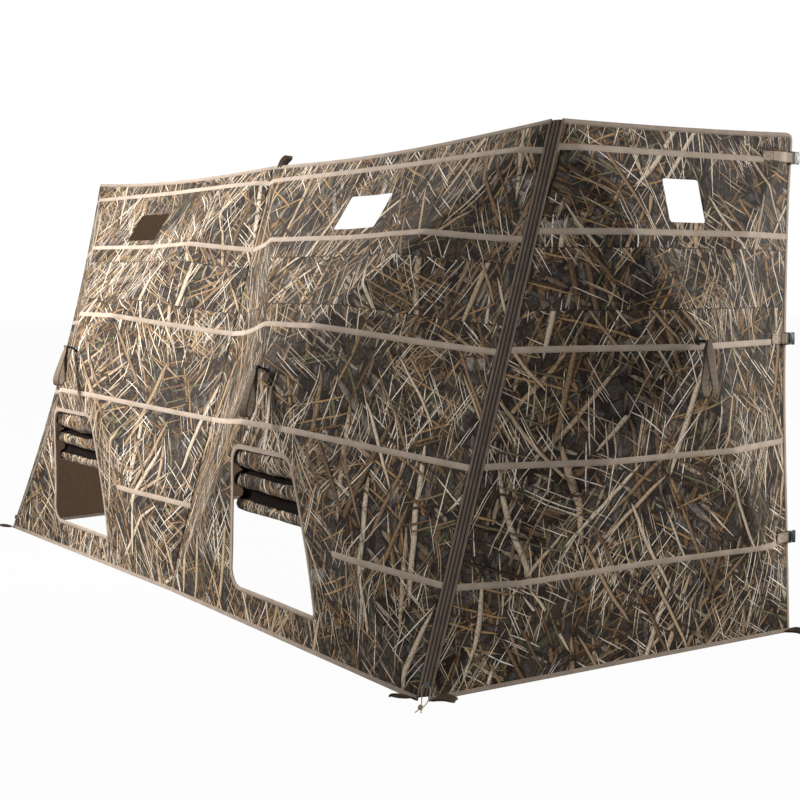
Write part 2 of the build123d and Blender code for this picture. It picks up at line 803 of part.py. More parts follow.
# ---------------------------------------------------------------- loop on the top edge
def make_top_loop(panel):
    """A standing loop on the top edge beside the centre seam."""
    edge = panel.corners[3]
    base = panel.world(edge.X + 2 * top_loop_width, edge.Y - web, -cloth - tape - close)
    with BuildPart() as loop:
        with BuildSketch(Plane(origin=base, x_dir=panel.along, z_dir=-panel.plane.z_dir)):
            Rectangle(top_loop_width, 2 * top_loop_rise)
            Rectangle(top_loop_width - 4 * web, 2 * top_loop_rise - 4 * web, mode=Mode.SUBTRACT)
        extrude(amount=web)
    return loop.part


# ---------------------------------------------------------------- build and write every piece
ends = ((front_right, end_right), (front_left, end_left))
pieces = {}
for panel in panels:
    name = panel.name
    blank = make_cloth(panel, holes=False)
    binding = make_binding(panel, blank)
    pieces[f"skin_{name}"] = make_cloth(panel)
    pieces[f"binding_{name}"] = binding
    pieces[f"webbing_{name}"] = make_webbing(panel)
    pieces[f"pockets_{name}"] = make_pockets(panel, binding)
    pieces[f"hub_{name}"] = make_hub(panel)
    pieces[f"hub_cap_{name}"] = make_cap(panel)
    pieces[f"pull_loop_{name}"] = make_loop(panel)
    for i, corner in enumerate(panel.corners):
        pieces[f"pole_{name}_{i + 1}"] = make_pole(panel, corner)
    if is_front(panel):
        pieces[f"door_flap_{name}"] = make_flap(panel)
    else:
        pieces[f"strap_tails_{name}"] = make_tails(panel, binding)
        for (height, length, inside), place in zip(tails, ("low", "middle", "top")):
            pieces[f"buckle_{name}_{place}"] = make_buckle(panel, height, inside)
for front, end in ends:
    side = front.name.split("_")[1]
    pieces[f"corner_zip_{side}"] = make_zip(front, end)
    pieces[f"zip_slider_{side}"] = make_slider(front, end)
pieces["zip_pull_cord"] = make_pull_cord(front_right, end_right)
pieces["top_loop"] = make_top_loop(front_right)

# the origin lies on the floor under the middle of everything but the loose cord
boxes = [piece.bounding_box() for label, piece in pieces.items() if label != "zip_pull_cord"]
centre_x = (min(box.min.X for box in boxes) + max(box.max.X for box in boxes)) / 2
centre_y = (min(box.min.Y for box in boxes) + max(box.max.Y for box in boxes)) / 2
to_centre = Location((-centre_x, -centre_y, 0))
for label, piece in pieces.items():
    placed = piece.moved(to_centre)
    placed.label = label
    export_step(placed, f"parts/{label}.step")
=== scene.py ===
import json
import math
import random

import bmesh
import bpy
from mathutils import Matrix, Vector, noise
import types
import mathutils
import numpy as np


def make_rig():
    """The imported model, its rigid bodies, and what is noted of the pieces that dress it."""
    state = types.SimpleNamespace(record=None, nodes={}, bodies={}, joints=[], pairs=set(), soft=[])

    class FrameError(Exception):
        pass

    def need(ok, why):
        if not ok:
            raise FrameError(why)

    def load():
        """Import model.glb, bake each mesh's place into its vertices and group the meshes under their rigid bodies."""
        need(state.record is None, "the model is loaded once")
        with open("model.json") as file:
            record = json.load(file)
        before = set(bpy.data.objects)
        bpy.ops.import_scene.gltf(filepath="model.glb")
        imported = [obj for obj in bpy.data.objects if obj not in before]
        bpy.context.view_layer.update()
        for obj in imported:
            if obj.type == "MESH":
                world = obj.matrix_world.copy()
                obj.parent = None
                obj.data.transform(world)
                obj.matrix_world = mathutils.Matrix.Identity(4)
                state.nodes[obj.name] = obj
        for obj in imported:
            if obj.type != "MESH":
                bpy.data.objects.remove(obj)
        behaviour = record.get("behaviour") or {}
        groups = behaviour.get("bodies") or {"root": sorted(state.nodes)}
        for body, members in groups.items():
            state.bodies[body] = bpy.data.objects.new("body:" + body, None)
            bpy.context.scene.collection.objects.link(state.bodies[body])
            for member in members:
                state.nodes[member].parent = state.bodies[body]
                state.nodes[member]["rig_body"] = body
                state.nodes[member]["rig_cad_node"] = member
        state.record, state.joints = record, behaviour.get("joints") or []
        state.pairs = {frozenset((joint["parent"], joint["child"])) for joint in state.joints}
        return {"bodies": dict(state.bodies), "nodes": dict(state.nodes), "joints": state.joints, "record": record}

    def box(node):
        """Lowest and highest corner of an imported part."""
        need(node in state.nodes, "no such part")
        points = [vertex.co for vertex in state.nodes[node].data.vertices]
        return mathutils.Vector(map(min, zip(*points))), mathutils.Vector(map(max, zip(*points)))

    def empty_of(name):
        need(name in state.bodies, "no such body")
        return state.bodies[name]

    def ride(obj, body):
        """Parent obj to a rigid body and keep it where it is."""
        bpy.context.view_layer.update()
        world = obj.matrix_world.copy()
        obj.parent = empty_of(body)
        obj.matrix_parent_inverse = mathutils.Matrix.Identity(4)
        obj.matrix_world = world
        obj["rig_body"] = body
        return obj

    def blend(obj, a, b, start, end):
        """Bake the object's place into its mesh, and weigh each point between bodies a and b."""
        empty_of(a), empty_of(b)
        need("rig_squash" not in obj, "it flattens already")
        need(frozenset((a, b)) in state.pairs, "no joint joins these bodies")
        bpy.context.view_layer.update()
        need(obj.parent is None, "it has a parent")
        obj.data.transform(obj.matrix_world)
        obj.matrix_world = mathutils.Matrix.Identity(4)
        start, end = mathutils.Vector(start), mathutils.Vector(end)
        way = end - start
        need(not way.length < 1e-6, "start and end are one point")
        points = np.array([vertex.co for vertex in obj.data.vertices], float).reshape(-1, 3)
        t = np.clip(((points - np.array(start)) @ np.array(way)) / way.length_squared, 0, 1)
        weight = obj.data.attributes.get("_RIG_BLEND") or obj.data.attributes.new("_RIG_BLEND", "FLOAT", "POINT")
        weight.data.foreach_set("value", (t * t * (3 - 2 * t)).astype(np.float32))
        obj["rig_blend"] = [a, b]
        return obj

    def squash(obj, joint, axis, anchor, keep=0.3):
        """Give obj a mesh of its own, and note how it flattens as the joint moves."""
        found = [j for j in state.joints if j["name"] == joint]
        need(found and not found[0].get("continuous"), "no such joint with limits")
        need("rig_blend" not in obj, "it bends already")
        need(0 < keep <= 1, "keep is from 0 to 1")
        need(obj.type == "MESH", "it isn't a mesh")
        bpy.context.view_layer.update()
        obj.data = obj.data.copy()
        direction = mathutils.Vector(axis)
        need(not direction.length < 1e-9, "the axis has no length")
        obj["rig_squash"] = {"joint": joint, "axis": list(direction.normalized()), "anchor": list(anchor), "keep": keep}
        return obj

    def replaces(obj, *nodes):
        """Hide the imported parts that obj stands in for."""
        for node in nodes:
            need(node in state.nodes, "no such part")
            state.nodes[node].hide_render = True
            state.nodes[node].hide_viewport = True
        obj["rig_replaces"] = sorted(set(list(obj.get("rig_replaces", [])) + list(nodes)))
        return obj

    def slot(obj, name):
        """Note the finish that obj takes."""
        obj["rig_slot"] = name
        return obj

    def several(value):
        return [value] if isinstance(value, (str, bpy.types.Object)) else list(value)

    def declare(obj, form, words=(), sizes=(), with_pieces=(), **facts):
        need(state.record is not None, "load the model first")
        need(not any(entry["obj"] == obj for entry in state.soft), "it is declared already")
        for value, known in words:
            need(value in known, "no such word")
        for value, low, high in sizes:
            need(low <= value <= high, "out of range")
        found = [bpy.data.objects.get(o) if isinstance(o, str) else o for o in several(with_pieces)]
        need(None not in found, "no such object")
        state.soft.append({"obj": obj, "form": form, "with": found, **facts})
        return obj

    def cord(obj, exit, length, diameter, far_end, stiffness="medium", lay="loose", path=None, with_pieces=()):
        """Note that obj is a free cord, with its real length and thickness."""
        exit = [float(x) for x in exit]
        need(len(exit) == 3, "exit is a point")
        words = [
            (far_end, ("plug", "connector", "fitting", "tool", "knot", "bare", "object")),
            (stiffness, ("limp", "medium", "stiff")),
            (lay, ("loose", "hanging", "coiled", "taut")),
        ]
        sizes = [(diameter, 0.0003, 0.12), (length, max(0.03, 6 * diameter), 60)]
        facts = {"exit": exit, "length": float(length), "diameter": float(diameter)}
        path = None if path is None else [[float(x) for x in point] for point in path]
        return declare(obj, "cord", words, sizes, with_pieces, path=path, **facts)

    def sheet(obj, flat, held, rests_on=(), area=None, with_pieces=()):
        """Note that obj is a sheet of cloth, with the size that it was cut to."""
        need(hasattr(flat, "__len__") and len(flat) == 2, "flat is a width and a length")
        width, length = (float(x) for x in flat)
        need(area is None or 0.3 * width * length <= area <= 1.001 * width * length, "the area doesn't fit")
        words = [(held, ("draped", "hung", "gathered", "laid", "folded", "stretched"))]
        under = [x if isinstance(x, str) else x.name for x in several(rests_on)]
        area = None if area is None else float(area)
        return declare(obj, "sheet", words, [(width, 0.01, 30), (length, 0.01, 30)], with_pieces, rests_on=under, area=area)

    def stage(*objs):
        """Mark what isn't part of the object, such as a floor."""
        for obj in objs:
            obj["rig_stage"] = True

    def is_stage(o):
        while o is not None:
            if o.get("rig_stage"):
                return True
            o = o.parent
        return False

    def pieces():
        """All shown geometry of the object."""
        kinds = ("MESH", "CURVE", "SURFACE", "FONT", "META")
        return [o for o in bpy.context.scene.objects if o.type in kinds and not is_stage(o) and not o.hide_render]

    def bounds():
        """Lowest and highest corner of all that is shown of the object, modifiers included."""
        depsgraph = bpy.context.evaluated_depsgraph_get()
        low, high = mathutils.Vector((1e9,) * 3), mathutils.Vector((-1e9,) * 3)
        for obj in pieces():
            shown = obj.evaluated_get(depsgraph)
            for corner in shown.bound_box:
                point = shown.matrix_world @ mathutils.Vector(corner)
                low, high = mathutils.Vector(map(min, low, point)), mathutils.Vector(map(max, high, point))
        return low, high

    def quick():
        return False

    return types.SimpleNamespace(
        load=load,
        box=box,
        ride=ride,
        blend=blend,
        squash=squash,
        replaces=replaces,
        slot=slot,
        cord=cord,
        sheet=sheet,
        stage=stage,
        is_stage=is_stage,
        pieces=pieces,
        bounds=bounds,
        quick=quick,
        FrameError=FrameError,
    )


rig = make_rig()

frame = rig.load()
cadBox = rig.bounds()
joints = {joint["name"]: joint for joint in frame["joints"]}
print("frame loaded")

# metres and degrees; the walls stand as the solids do
blind = {
    "height": 1.470, "lean": 0.425, "panel": 1.480, "depth": 1.310, "rearStep": 0.015,
    "seamDrop": 0.022, "seamTurn": 2.2, "flare": 3.0, "frontBulge": 0.234, "endBulge": 0.146,
    "hubFlat": 0.030, "topSag": 0.022, "endTopSag": 0.004, "rearSag": 0.030,
    "rearRise": 0.011, "rearRound": 0.028, "cornerPull": 0.026, "pullReach": 0.45,
    "band": 0.030, "seamGap": 0.0006, "cloth": 0.002, "tape": 0.0012,
}
# how the cloth hangs between its poles
drape = {
    "ridge": 170.0, "hollow": 0.034, "hollowShare": {"front": 4, "end": 2.5},
    "swell": (2.6, 2.6, 0.0045), "crease": (9, 7, 0.0014),
}
cornerCut = blind["band"] / math.sqrt(2)
up = Vector((0, blind["lean"], blind["height"]))


def floorWay(degrees):
    return Vector((math.cos(math.radians(degrees)), math.sin(math.radians(degrees)), 0))


def crossing(a, b, c, d):
    run, other = b - a, d - c
    turn = run.x * other.y - run.y * other.x
    return a + run * (((c.x - a.x) * other.y - (c.y - a.y) * other.x) / turn)


class Panel:  # a hub panel: u along its foot, v up its slope, w out of it
    def __init__(self, name, foot, farFoot, tops, cuts, sags, bulge):
        self.name, self.foot, self.sags, self.bulge = name, foot, sags, bulge
        self.along = (farFoot - foot).normalized()
        self.out = self.along.cross(up).normalized()
        self.up = self.out.cross(self.along)
        near, far = (self.flat(top) for top in tops)
        raw = [Vector((0, 0)), Vector(((farFoot - foot).length, 0)), far, near]
        gaps = (0, cuts[1], 0, cuts[0])
        edges = []
        for i, gap in enumerate(gaps):
            a, b = raw[i], raw[(i + 1) % 4]
            inward = Vector((a.y - b.y, b.x - a.x)).normalized() * gap
            edges.append((a + inward, b + inward))
        self.corners = [crossing(*edges[i - 1], *edges[i]) for i in range(4)]
        self.hub = crossing(self.corners[0], self.corners[2], self.corners[1], self.corners[3])
        nearest = min(self.reach(i, self.hub) for i in range(4))
        self.apex = bulge / (1 - blind["hubFlat"] / nearest)
        self.square = self.projective()
        self.side = "front" if name.startswith("front") else "end"
        self.mirrored = name.endswith("left")

    def flat(self, point):
        offset = point - self.foot
        return Vector((offset.dot(self.along), offset.dot(self.up)))

    def world(self, u, v, w=0.0):
        return self.foot + self.along * u + self.up * v + self.out * w

    def reach(self, i, place):
        a, b = self.corners[i], self.corners[(i + 1) % 4]
        run = b - a
        return (run.x * (place.y - a.y) - run.y * (place.x - a.x)) / run.length

    def projective(self):
        # keeps straight lines straight, so the square's diagonals become the ridges
        a, b, c, d = self.corners
        s, e, f = a - b + c - d, b - c, d - c
        cross = e.x * f.y - e.y * f.x
        g = (s.x * f.y - s.y * f.x) / cross
        h = (e.x * s.y - e.y * s.x) / cross
        return (b - a + g * b, d - a + h * d, a, g, h)

    # a point of the unit square, on the panel as it is cut, with its edges pulled in
    def place(self, p, q):
        x, y, a, g, h = self.square
        spot = (x * p + y * q + a) / (g * p + h * q + 1)
        ends = ((p, 1 - q), (q, p), (p, q), (q, 1 - p))
        for i, (along, near) in enumerate(ends):
            if self.sags[i]:
                start, stop = self.corners[i], self.corners[(i + 1) % 4]
                inward = Vector((start.y - stop.y, stop.x - start.x)).normalized()
                spot = spot + inward * (self.sags[i] * 4 * along * (1 - along) * near ** 3)
        return self.roundOff(spot)

    def roundOff(self, spot):  # an end wall's rear top corner is rounded
        if self.side == "front":
            return spot
        r = blind["rearRound"]
        high = self.corners[3 if self.mirrored else 2]
        before, after = self.corners[0 if self.mirrored else 1], self.corners[2 if self.mirrored else 3]
        rear, top = (before - high).normalized(), (after - high).normalized()
        turn = rear.x * top.y - rear.y * top.x
        offset = spot - high
        x = (offset.x * top.y - offset.y * top.x) / turn
        y = (rear.x * offset.y - rear.y * offset.x) / turn
        a, b = r - y, r - x
        if a <= 0 or b <= 0:
            return spot
        shrink = max(a, b) / math.hypot(a, b)
        return high + rear * (r - b * shrink) + top * (r - a * shrink)

    def rise(self, u, v):
        place = Vector((u, v))
        shares = sorted(self.reach(i, place) / self.reach(i, self.hub) for i in range(4))
        low, second = shares[0], shares[1]
        soft = low - math.log(sum(math.exp(-drape["ridge"] * (s - low)) for s in shares)) / drape["ridge"]
        height = min(self.apex * soft, self.bulge)
        inside = max(0.0, min(1.0, low))
        apart = max(0.0, second - low)
        height -= drape["hollow"] * inside * (1 - inside) * apart * drape["hollowShare"][self.side]
        calm = min(1.0, apart * 7) * min(1.0, 0.25 + inside * 6)
        (a, b, deep), (c, d, fine) = drape["swell"], drape["crease"]
        ripple = noise.noise(Vector((u * a, v * b, 3.0 + len(self.name)))) * deep
        ripple += noise.noise(Vector((u * c, v * d, 8.0))) * fine
        return height + ripple * calm

    def on(self, u, v, lift=0.0):
        return bow(self, self.world(u, v, self.rise(u, v) + lift))

    def outer(self, u):  # a place measured from the seam or the corner, in the panel's own u
        return self.corners[1].x - u if self.mirrored else u

    def rearEdge(self, v):
        a, b = (self.corners[i] for i in ((0, 3) if self.mirrored else (1, 2)))
        share = v / b.y
        pull = 4 * blind["rearSag"] * share * (1 - share)
        edge = a.x + (b.x - a.x) * share
        return edge + pull if self.mirrored else edge - pull


seamJoint = joints["front_seam"]
firstOut = Vector((1, 0, 0)).cross(up).normalized()
seamFoot = Vector(seamJoint["pos_m"]) + firstOut * (blind["cloth"] + blind["tape"])
rightFoot = seamFoot + floorWay(0) * blind["panel"]
leftFoot = seamFoot - floorWay(blind["seamTurn"]) * blind["panel"]
rightWay = floorWay(90 - blind["flare"])
leftWay = floorWay(90 + blind["seamTurn"] + blind["flare"])
rearRight = rightFoot + rightWay * blind["depth"]
rearLeft = leftFoot + leftWay * blind["depth"]
rearRise = Vector((0, 0, blind["height"] + blind["rearRise"]))
seamTop = up * (1 - blind["seamDrop"] / up.length)


def bow(panel, point):  # the left zipped corner is pulled inwards halfway up
    if not panel.mirrored:
        return point
    share = point.z / blind["height"]
    corner = leftFoot + up * share
    away = (Vector((point.x, point.y, 0)) - Vector((corner.x, corner.y, 0))).length
    pull = max(0.0, 4 * share * (1 - share)) * blind["cornerPull"]
    pull *= math.exp(-((away / blind["pullReach"]) ** 2))
    return point + Vector((pull, pull, 0))


panels = [
    Panel("front_right", seamFoot, rightFoot, (seamFoot + seamTop, rightFoot + up),
          (blind["seamGap"] / 2, cornerCut), (0, 0, blind["topSag"], 0), blind["frontBulge"]),
    Panel("front_left", leftFoot, seamFoot, (leftFoot + up, seamFoot + seamTop),
          (cornerCut, blind["seamGap"] / 2), (0, 0, blind["topSag"], 0), blind["frontBulge"]),
    Panel("end_right", rightFoot, rearRight,
          (rightFoot + up, rearRight + rearRise - rightWay * blind["rearStep"]),
          (cornerCut, 0), (0, blind["rearSag"], blind["endTopSag"], 0), blind["endBulge"]),
    Panel("end_left", rearLeft, leftFoot,
          (rearLeft + rearRise - leftWay * blind["rearStep"], leftFoot + up),
          (0, cornerCut), (0, 0, blind["endTopSag"], blind["rearSag"]), blind["endBulge"]),
]
frontRight, frontLeft, endRight, endLeft = panels

# camera, floor and light
view = {"from": (4.139, -1.893, 1.053), "azimuth": 55.50, "elevation": 5.11, "lens": 60.2}
cameraData = bpy.data.cameras.new("camera")
cameraData.lens = view["lens"]
cameraData.sensor_width = 36
cameraData.clip_end = 100
camera = bpy.data.objects.new("camera", cameraData)
bpy.context.scene.collection.objects.link(camera)
a, e = math.radians(view["azimuth"]), math.radians(view["elevation"])
look = Vector((-math.sin(a) * math.cos(e), math.cos(a) * math.cos(e), -math.sin(e)))
camera.location = Vector(view["from"]) + seamFoot
camera.rotation_mode = "QUATERNION"
camera.rotation_quaternion = look.to_track_quat("-Z", "Y")
bpy.context.scene.camera = camera
bpy.context.scene.view_settings.view_transform = "Standard"


class Value:  # a number's socket that Python's own operators work on
    def __init__(self, paint, socket):
        self.paint, self.socket = paint, socket

    def maths(self, operation, first, second=0.0, clamp=False):
        settings = {"operation": operation, "use_clamp": clamp}
        return self.paint.make("ShaderNodeMath", settings, {0: first, 1: second})[0]

    def __add__(self, other):
        return self.maths("ADD", self, other)

    def __sub__(self, other):
        return self.maths("SUBTRACT", self, other)

    def __rsub__(self, other):
        return self.maths("SUBTRACT", other, self)

    def __mul__(self, other):
        return self.maths("MULTIPLY", self, other)

    def __truediv__(self, other):
        return self.maths("DIVIDE", self, other)

    def __lt__(self, other):
        return self.maths("LESS_THAN", self, other)

    __radd__, __rmul__ = __add__, __mul__

    def clamped(self):
        return self.maths("MULTIPLY", self, 1.0, True)

    def wave(self):
        return self.maths("SINE", self)

    def size(self):
        return self.maths("ABSOLUTE", self)

    def loop(self, length):
        return self.maths("WRAP", self, length)


class Paint:  # one material and its nodes
    def __init__(self, name):
        self.material = bpy.data.materials.new(name)
        self.material.use_nodes = True
        self.tree = self.material.node_tree
        self.shader = self.tree.nodes["Principled BSDF"]

    def make(self, kind, settings=None, inputs=None):
        node = self.tree.nodes.new(kind)
        for key, value in (settings or {}).items():
            if key == "stops":
                ramp = node.color_ramp
                while len(ramp.elements) < len(value):
                    ramp.elements.new(0.5)
                for element, (place, colour) in zip(ramp.elements, value):
                    element.position = place
                    element.color = (*colour, 1)
            else:
                setattr(node, key, value)
        for key, value in (inputs or {}).items():
            self.join(node.inputs[key], value)
        return [Value(self, socket) for socket in node.outputs]

    def join(self, socket, value):
        if isinstance(value, Value):
            self.tree.links.new(value.socket, socket)
        elif isinstance(value, tuple) and len(value) == 3 and socket.type == "RGBA":
            socket.default_value = (*value, 1)
        else:
            socket.default_value = value

    def mix(self, factor, first, second, blend="MIX"):
        settings = {"data_type": "RGBA", "blend_type": blend}
        return self.make("ShaderNodeMix", settings, {0: factor, 6: first, 7: second})[2]

    def ramp(self, factor, stops, interpolation="LINEAR"):
        node = self.make("ShaderNodeValToRGB", {"stops": stops}, {0: factor})
        node[0].socket.node.color_ramp.interpolation = interpolation
        return node[0]

    def move(self, vector, size, turn, start):
        inputs = {0: vector, "Location": start, "Rotation": (0, 0, turn), "Scale": size}
        return self.make("ShaderNodeMapping", {"vector_type": "TEXTURE"}, inputs)[0]

    def uv(self):
        return self.make("ShaderNodeUVMap", {"uv_map": "UVMap"})[0]

    def place(self):
        return self.make("ShaderNodeTexCoord")[3]

    def parts(self, vector):
        return self.make("ShaderNodeSeparateXYZ", {}, {0: vector})

    def noise(self, vector, scale, detail=2.0, rough=0.5, flat=True):
        settings = {"noise_dimensions": "2D" if flat else "3D"}
        inputs = {"Vector": vector, "Scale": scale, "Detail": detail, "Roughness": rough}
        return self.make("ShaderNodeTexNoise", settings, inputs)

    def bump(self, height, strength, distance):
        inputs = {"Height": height, "Strength": strength, "Distance": distance}
        self.join(self.shader.inputs["Normal"], self.make("ShaderNodeBump", {}, inputs)[0])

    def finish(self, colour=None, rough=0.8, **others):
        if colour is not None:
            self.join(self.shader.inputs["Base Color"], colour)
        self.join(self.shader.inputs["Roughness"], rough)
        for name, value in others.items():
            self.join(self.shader.inputs[name.replace("_", " ")], value)
        return self.material


studio = {
    "sky": 0.27, "floor": 0.45, "glow": 0.97, "floorHalf": 30, "warmth": (1.0, 0.97, 0.945),
    # kind, place, aim, watts, size, cone
    "lamps": {
        "key": ("SPOT", (-1.6, -3.1, 2.2), (-0.50, -0.55, 0.92), 960, 0.55, 56),
        "top": ("AREA", (-2.4, -1.6, 4.6), (0.0, -0.2, 1.0), 120, 2.2, 0),
        "side": ("AREA", (3.7, 4.2, 2.1), (1.6, 0.4, 0.9), 250, 2.2, 0),
        "front": ("AREA", (5.2, -3.2, 2.6), (1.2, -0.2, 0.7), 14, 3.0, 0),
    },
}


def makeStudio():
    world = bpy.data.worlds.new("studio")
    bpy.context.scene.world = world
    world.use_nodes = True
    nodes, links = world.node_tree.nodes, world.node_tree.links
    back = nodes["Background"]
    path = nodes.new("ShaderNodeLightPath")
    seen = nodes.new("ShaderNodeMath")
    seen.operation = "MAXIMUM"
    links.new(path.outputs["Is Camera Ray"], seen.inputs[0])
    links.new(path.outputs["Is Transmission Ray"], seen.inputs[1])
    strength = nodes.new("ShaderNodeMapRange")
    strength.inputs["To Min"].default_value = studio["sky"]
    strength.inputs["To Max"].default_value = 1.0
    links.new(seen.outputs[0], strength.inputs[0])
    links.new(strength.outputs[0], back.inputs["Strength"])
    back.inputs["Color"].default_value = (1, 1, 1, 1)
    for name, (kind, place, aim, watts, size, cone) in studio["lamps"].items():
        lamp = bpy.data.lights.new(name, kind)
        lamp.energy = watts
        lamp.color = studio["warmth"]
        if kind == "SPOT":
            lamp.shadow_soft_size, lamp.spot_size, lamp.spot_blend = size, math.radians(cone), 0.9
        else:
            lamp.size = size
        item = bpy.data.objects.new(name, lamp)
        item.location = place
        item.rotation_mode = "QUATERNION"
        item.rotation_quaternion = (Vector(aim) - item.location).to_track_quat("-Z", "Y")
        item.visible_camera = False
        bpy.context.scene.collection.objects.link(item)
    mesh = bmesh.new()
    bmesh.ops.create_grid(mesh, x_segments=1, y_segments=1, size=studio["floorHalf"])
    floor = bpy.data.objects.new("studio_floor", bpy.data.meshes.new("studio_floor"))
    mesh.to_mesh(floor.data)
    mesh.free()
    bpy.context.scene.collection.objects.link(floor)
    paint = Paint("studioFloor")
    seen = paint.make("ShaderNodeLightPath")
    camera = [s for s in seen if s.socket.name == "Is Camera Ray"][0]
    glow = paint.make("ShaderNodeEmission", {}, {"Color": (1, 1, 1), "Strength": 1.0})[0]
    paint.finish((studio["floor"],) * 3, 0.9)
    output = paint.tree.nodes["Material Output"]
    lit = Value(paint, paint.shader.outputs[0])
    paint.join(output.inputs["Surface"],
               paint.make("ShaderNodeMixShader", {}, {0: camera * studio["glow"], 1: lit, 2: glow})[0])
    floor.data.materials.append(paint.material)
    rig.stage(floor)
    print("studio ready")


makeStudio()


def newObject(name, mesh, smooth=True):
    data = bpy.data.meshes.new(name)
    mesh.to_mesh(data)
    mesh.free()
    if smooth:
        data.shade_smooth()
    item = bpy.data.objects.new(name, data)
    bpy.context.scene.collection.objects.link(item)
    return item


def applied(item):  # the object with its modifiers made part of its mesh
    graph = bpy.context.evaluated_depsgraph_get()
    data = bpy.data.meshes.new_from_object(item.evaluated_get(graph))
    item.modifiers.clear()
    item.data = data
    return item


# a grid bent to where(p, q), with p and q from 0 to 1 and its size in metres on its UVs
def mapped(name, across, along, where, materials, thick=0.0, offset=0.0, size=None, closed=False):
    mesh = bmesh.new()
    layer = mesh.loops.layers.uv.new("UVMap")
    bmesh.ops.create_grid(mesh, x_segments=across, y_segments=along, size=0.5)
    wide, tall = size or (1.0, 1.0)
    for face in mesh.faces:
        for loop in face.loops:
            p, q = loop.vert.co.x + 0.5, loop.vert.co.y + 0.5
            loop[layer].uv = (p * wide, q * tall)
    for vert in mesh.verts:
        vert.co = where(vert.co.x + 0.5, vert.co.y + 0.5)
    if closed:
        bmesh.ops.remove_doubles(mesh, verts=mesh.verts, dist=1e-5)
    item = newObject(name, mesh)
    for material in materials:
        item.data.materials.append(material)
    if thick:
        wall = item.modifiers.new("wall", "SOLIDIFY")
        wall.thickness = thick
        wall.offset = offset
        if len(materials) > 1:
            wall.material_offset = 1
            wall.material_offset_rim = 1
        applied(item)
        item.data.shade_smooth()
    return item


# a flat tape lying on a panel, along a path of (u, v) places, with its length on its UVs
def strip(name, panel, path, width, material, thick=0.0016, steps=0.012):
    points = [Vector(p) for p in path]
    spans = [(b - a).length for a, b in zip(points, points[1:])]
    total = sum(spans)

    def spot(q):
        run = q * total
        for a, b, span in zip(points, points[1:], spans):
            if run <= span + 1e-9:
                return a.lerp(b, run / span), (b - a).normalized()
            run -= span
        return points[-1], (points[-1] - points[-2]).normalized()

    def where(p, q):
        place, way = spot(q)
        side = Vector((way.y, -way.x))
        edge = abs(p * 2 - 1)
        place = place + side * ((p - 0.5) * width)
        return panel.on(place.x, place.y, thick * (1 - edge ** 6 * 0.8))

    along = max(4, int(total / steps))
    return mapped(name, 6, along, where, [material], size=(width, total))


# the folded tape's section: share of its width in from the edge, level in thicknesses
hemProfile = ((1.0, 0.2), (0.94, 1.0), (0.5, 1.0), (0.12, 1.0), (0.0, 0.85), (-0.07, 0.4), (-0.09, -0.6),
              (-0.07, -1.9), (0.0, -2.4), (0.12, -2.6), (0.5, -2.6), (0.94, -2.6), (1.0, -1.8))
# how far its section reaches past the edge and below the cloth's face, in the same shares
hemTape = {"wide": 0.013, "thick": 0.0012, "crest": 0.0014, "past": 0.09, "below": 2.6, "round": 2.4,
           "step": 0.010, "offFloor": 0.0003}


# tape folded over an edge that runs along a path of (u, v); the cloth is on its left
def folded(name, panel, path, material, closed=False):
    wide, thick = hemTape["wide"], hemTape["thick"]
    points = [Vector(p) for p in path]
    if closed:
        points.append(points[0])
    spans = [(b - a).length for a, b in zip(points, points[1:])]
    total = sum(spans)
    ways = [(b - a).normalized() for a, b in zip(points, points[1:])]

    def spot(q):
        run = q * total
        for i, span in enumerate(spans):
            if run <= span + 1e-9 or i == len(spans) - 1:
                break
            run -= span
        share = min(1.0, run / spans[i])
        before = ways[i - 1] if i or closed else ways[i]
        after = ways[(i + 1) % len(ways)] if i + 1 < len(ways) or closed else ways[i]
        first, last = (before + ways[i]).normalized(), (ways[i] + after).normalized()
        return points[i].lerp(points[i + 1], share), first.lerp(last, share).normalized()

    def where(p, q):
        place, way = spot(q)
        inward = Vector((-way.y, way.x))
        step = p * (len(hemProfile) - 1)
        i = min(int(step), len(hemProfile) - 2)
        (depth, level), (nextDepth, nextLevel) = hemProfile[i], hemProfile[i + 1]
        depth, level = depth + (nextDepth - depth) * (step - i), level + (nextLevel - level) * (step - i)
        lift = level * thick if level > 0 else level * (thick + blind["cloth"]) / hemTape["below"]
        base = place + inward * max(0.0, depth * wide)
        point = panel.on(base.x, base.y, lift)
        if depth < 0:
            past = -depth / hemTape["past"] * hemTape["crest"]
            point = point - (panel.along * inward.x + panel.up * inward.y) * past
        if point.z < hemTape["offFloor"]:
            point.z = hemTape["offFloor"]
        return point

    along = max(8, int(total / hemTape["step"]))
    return mapped(name, len(hemProfile) - 1, along, where, [material], size=(wide * hemTape["round"], total),
                  closed=closed)


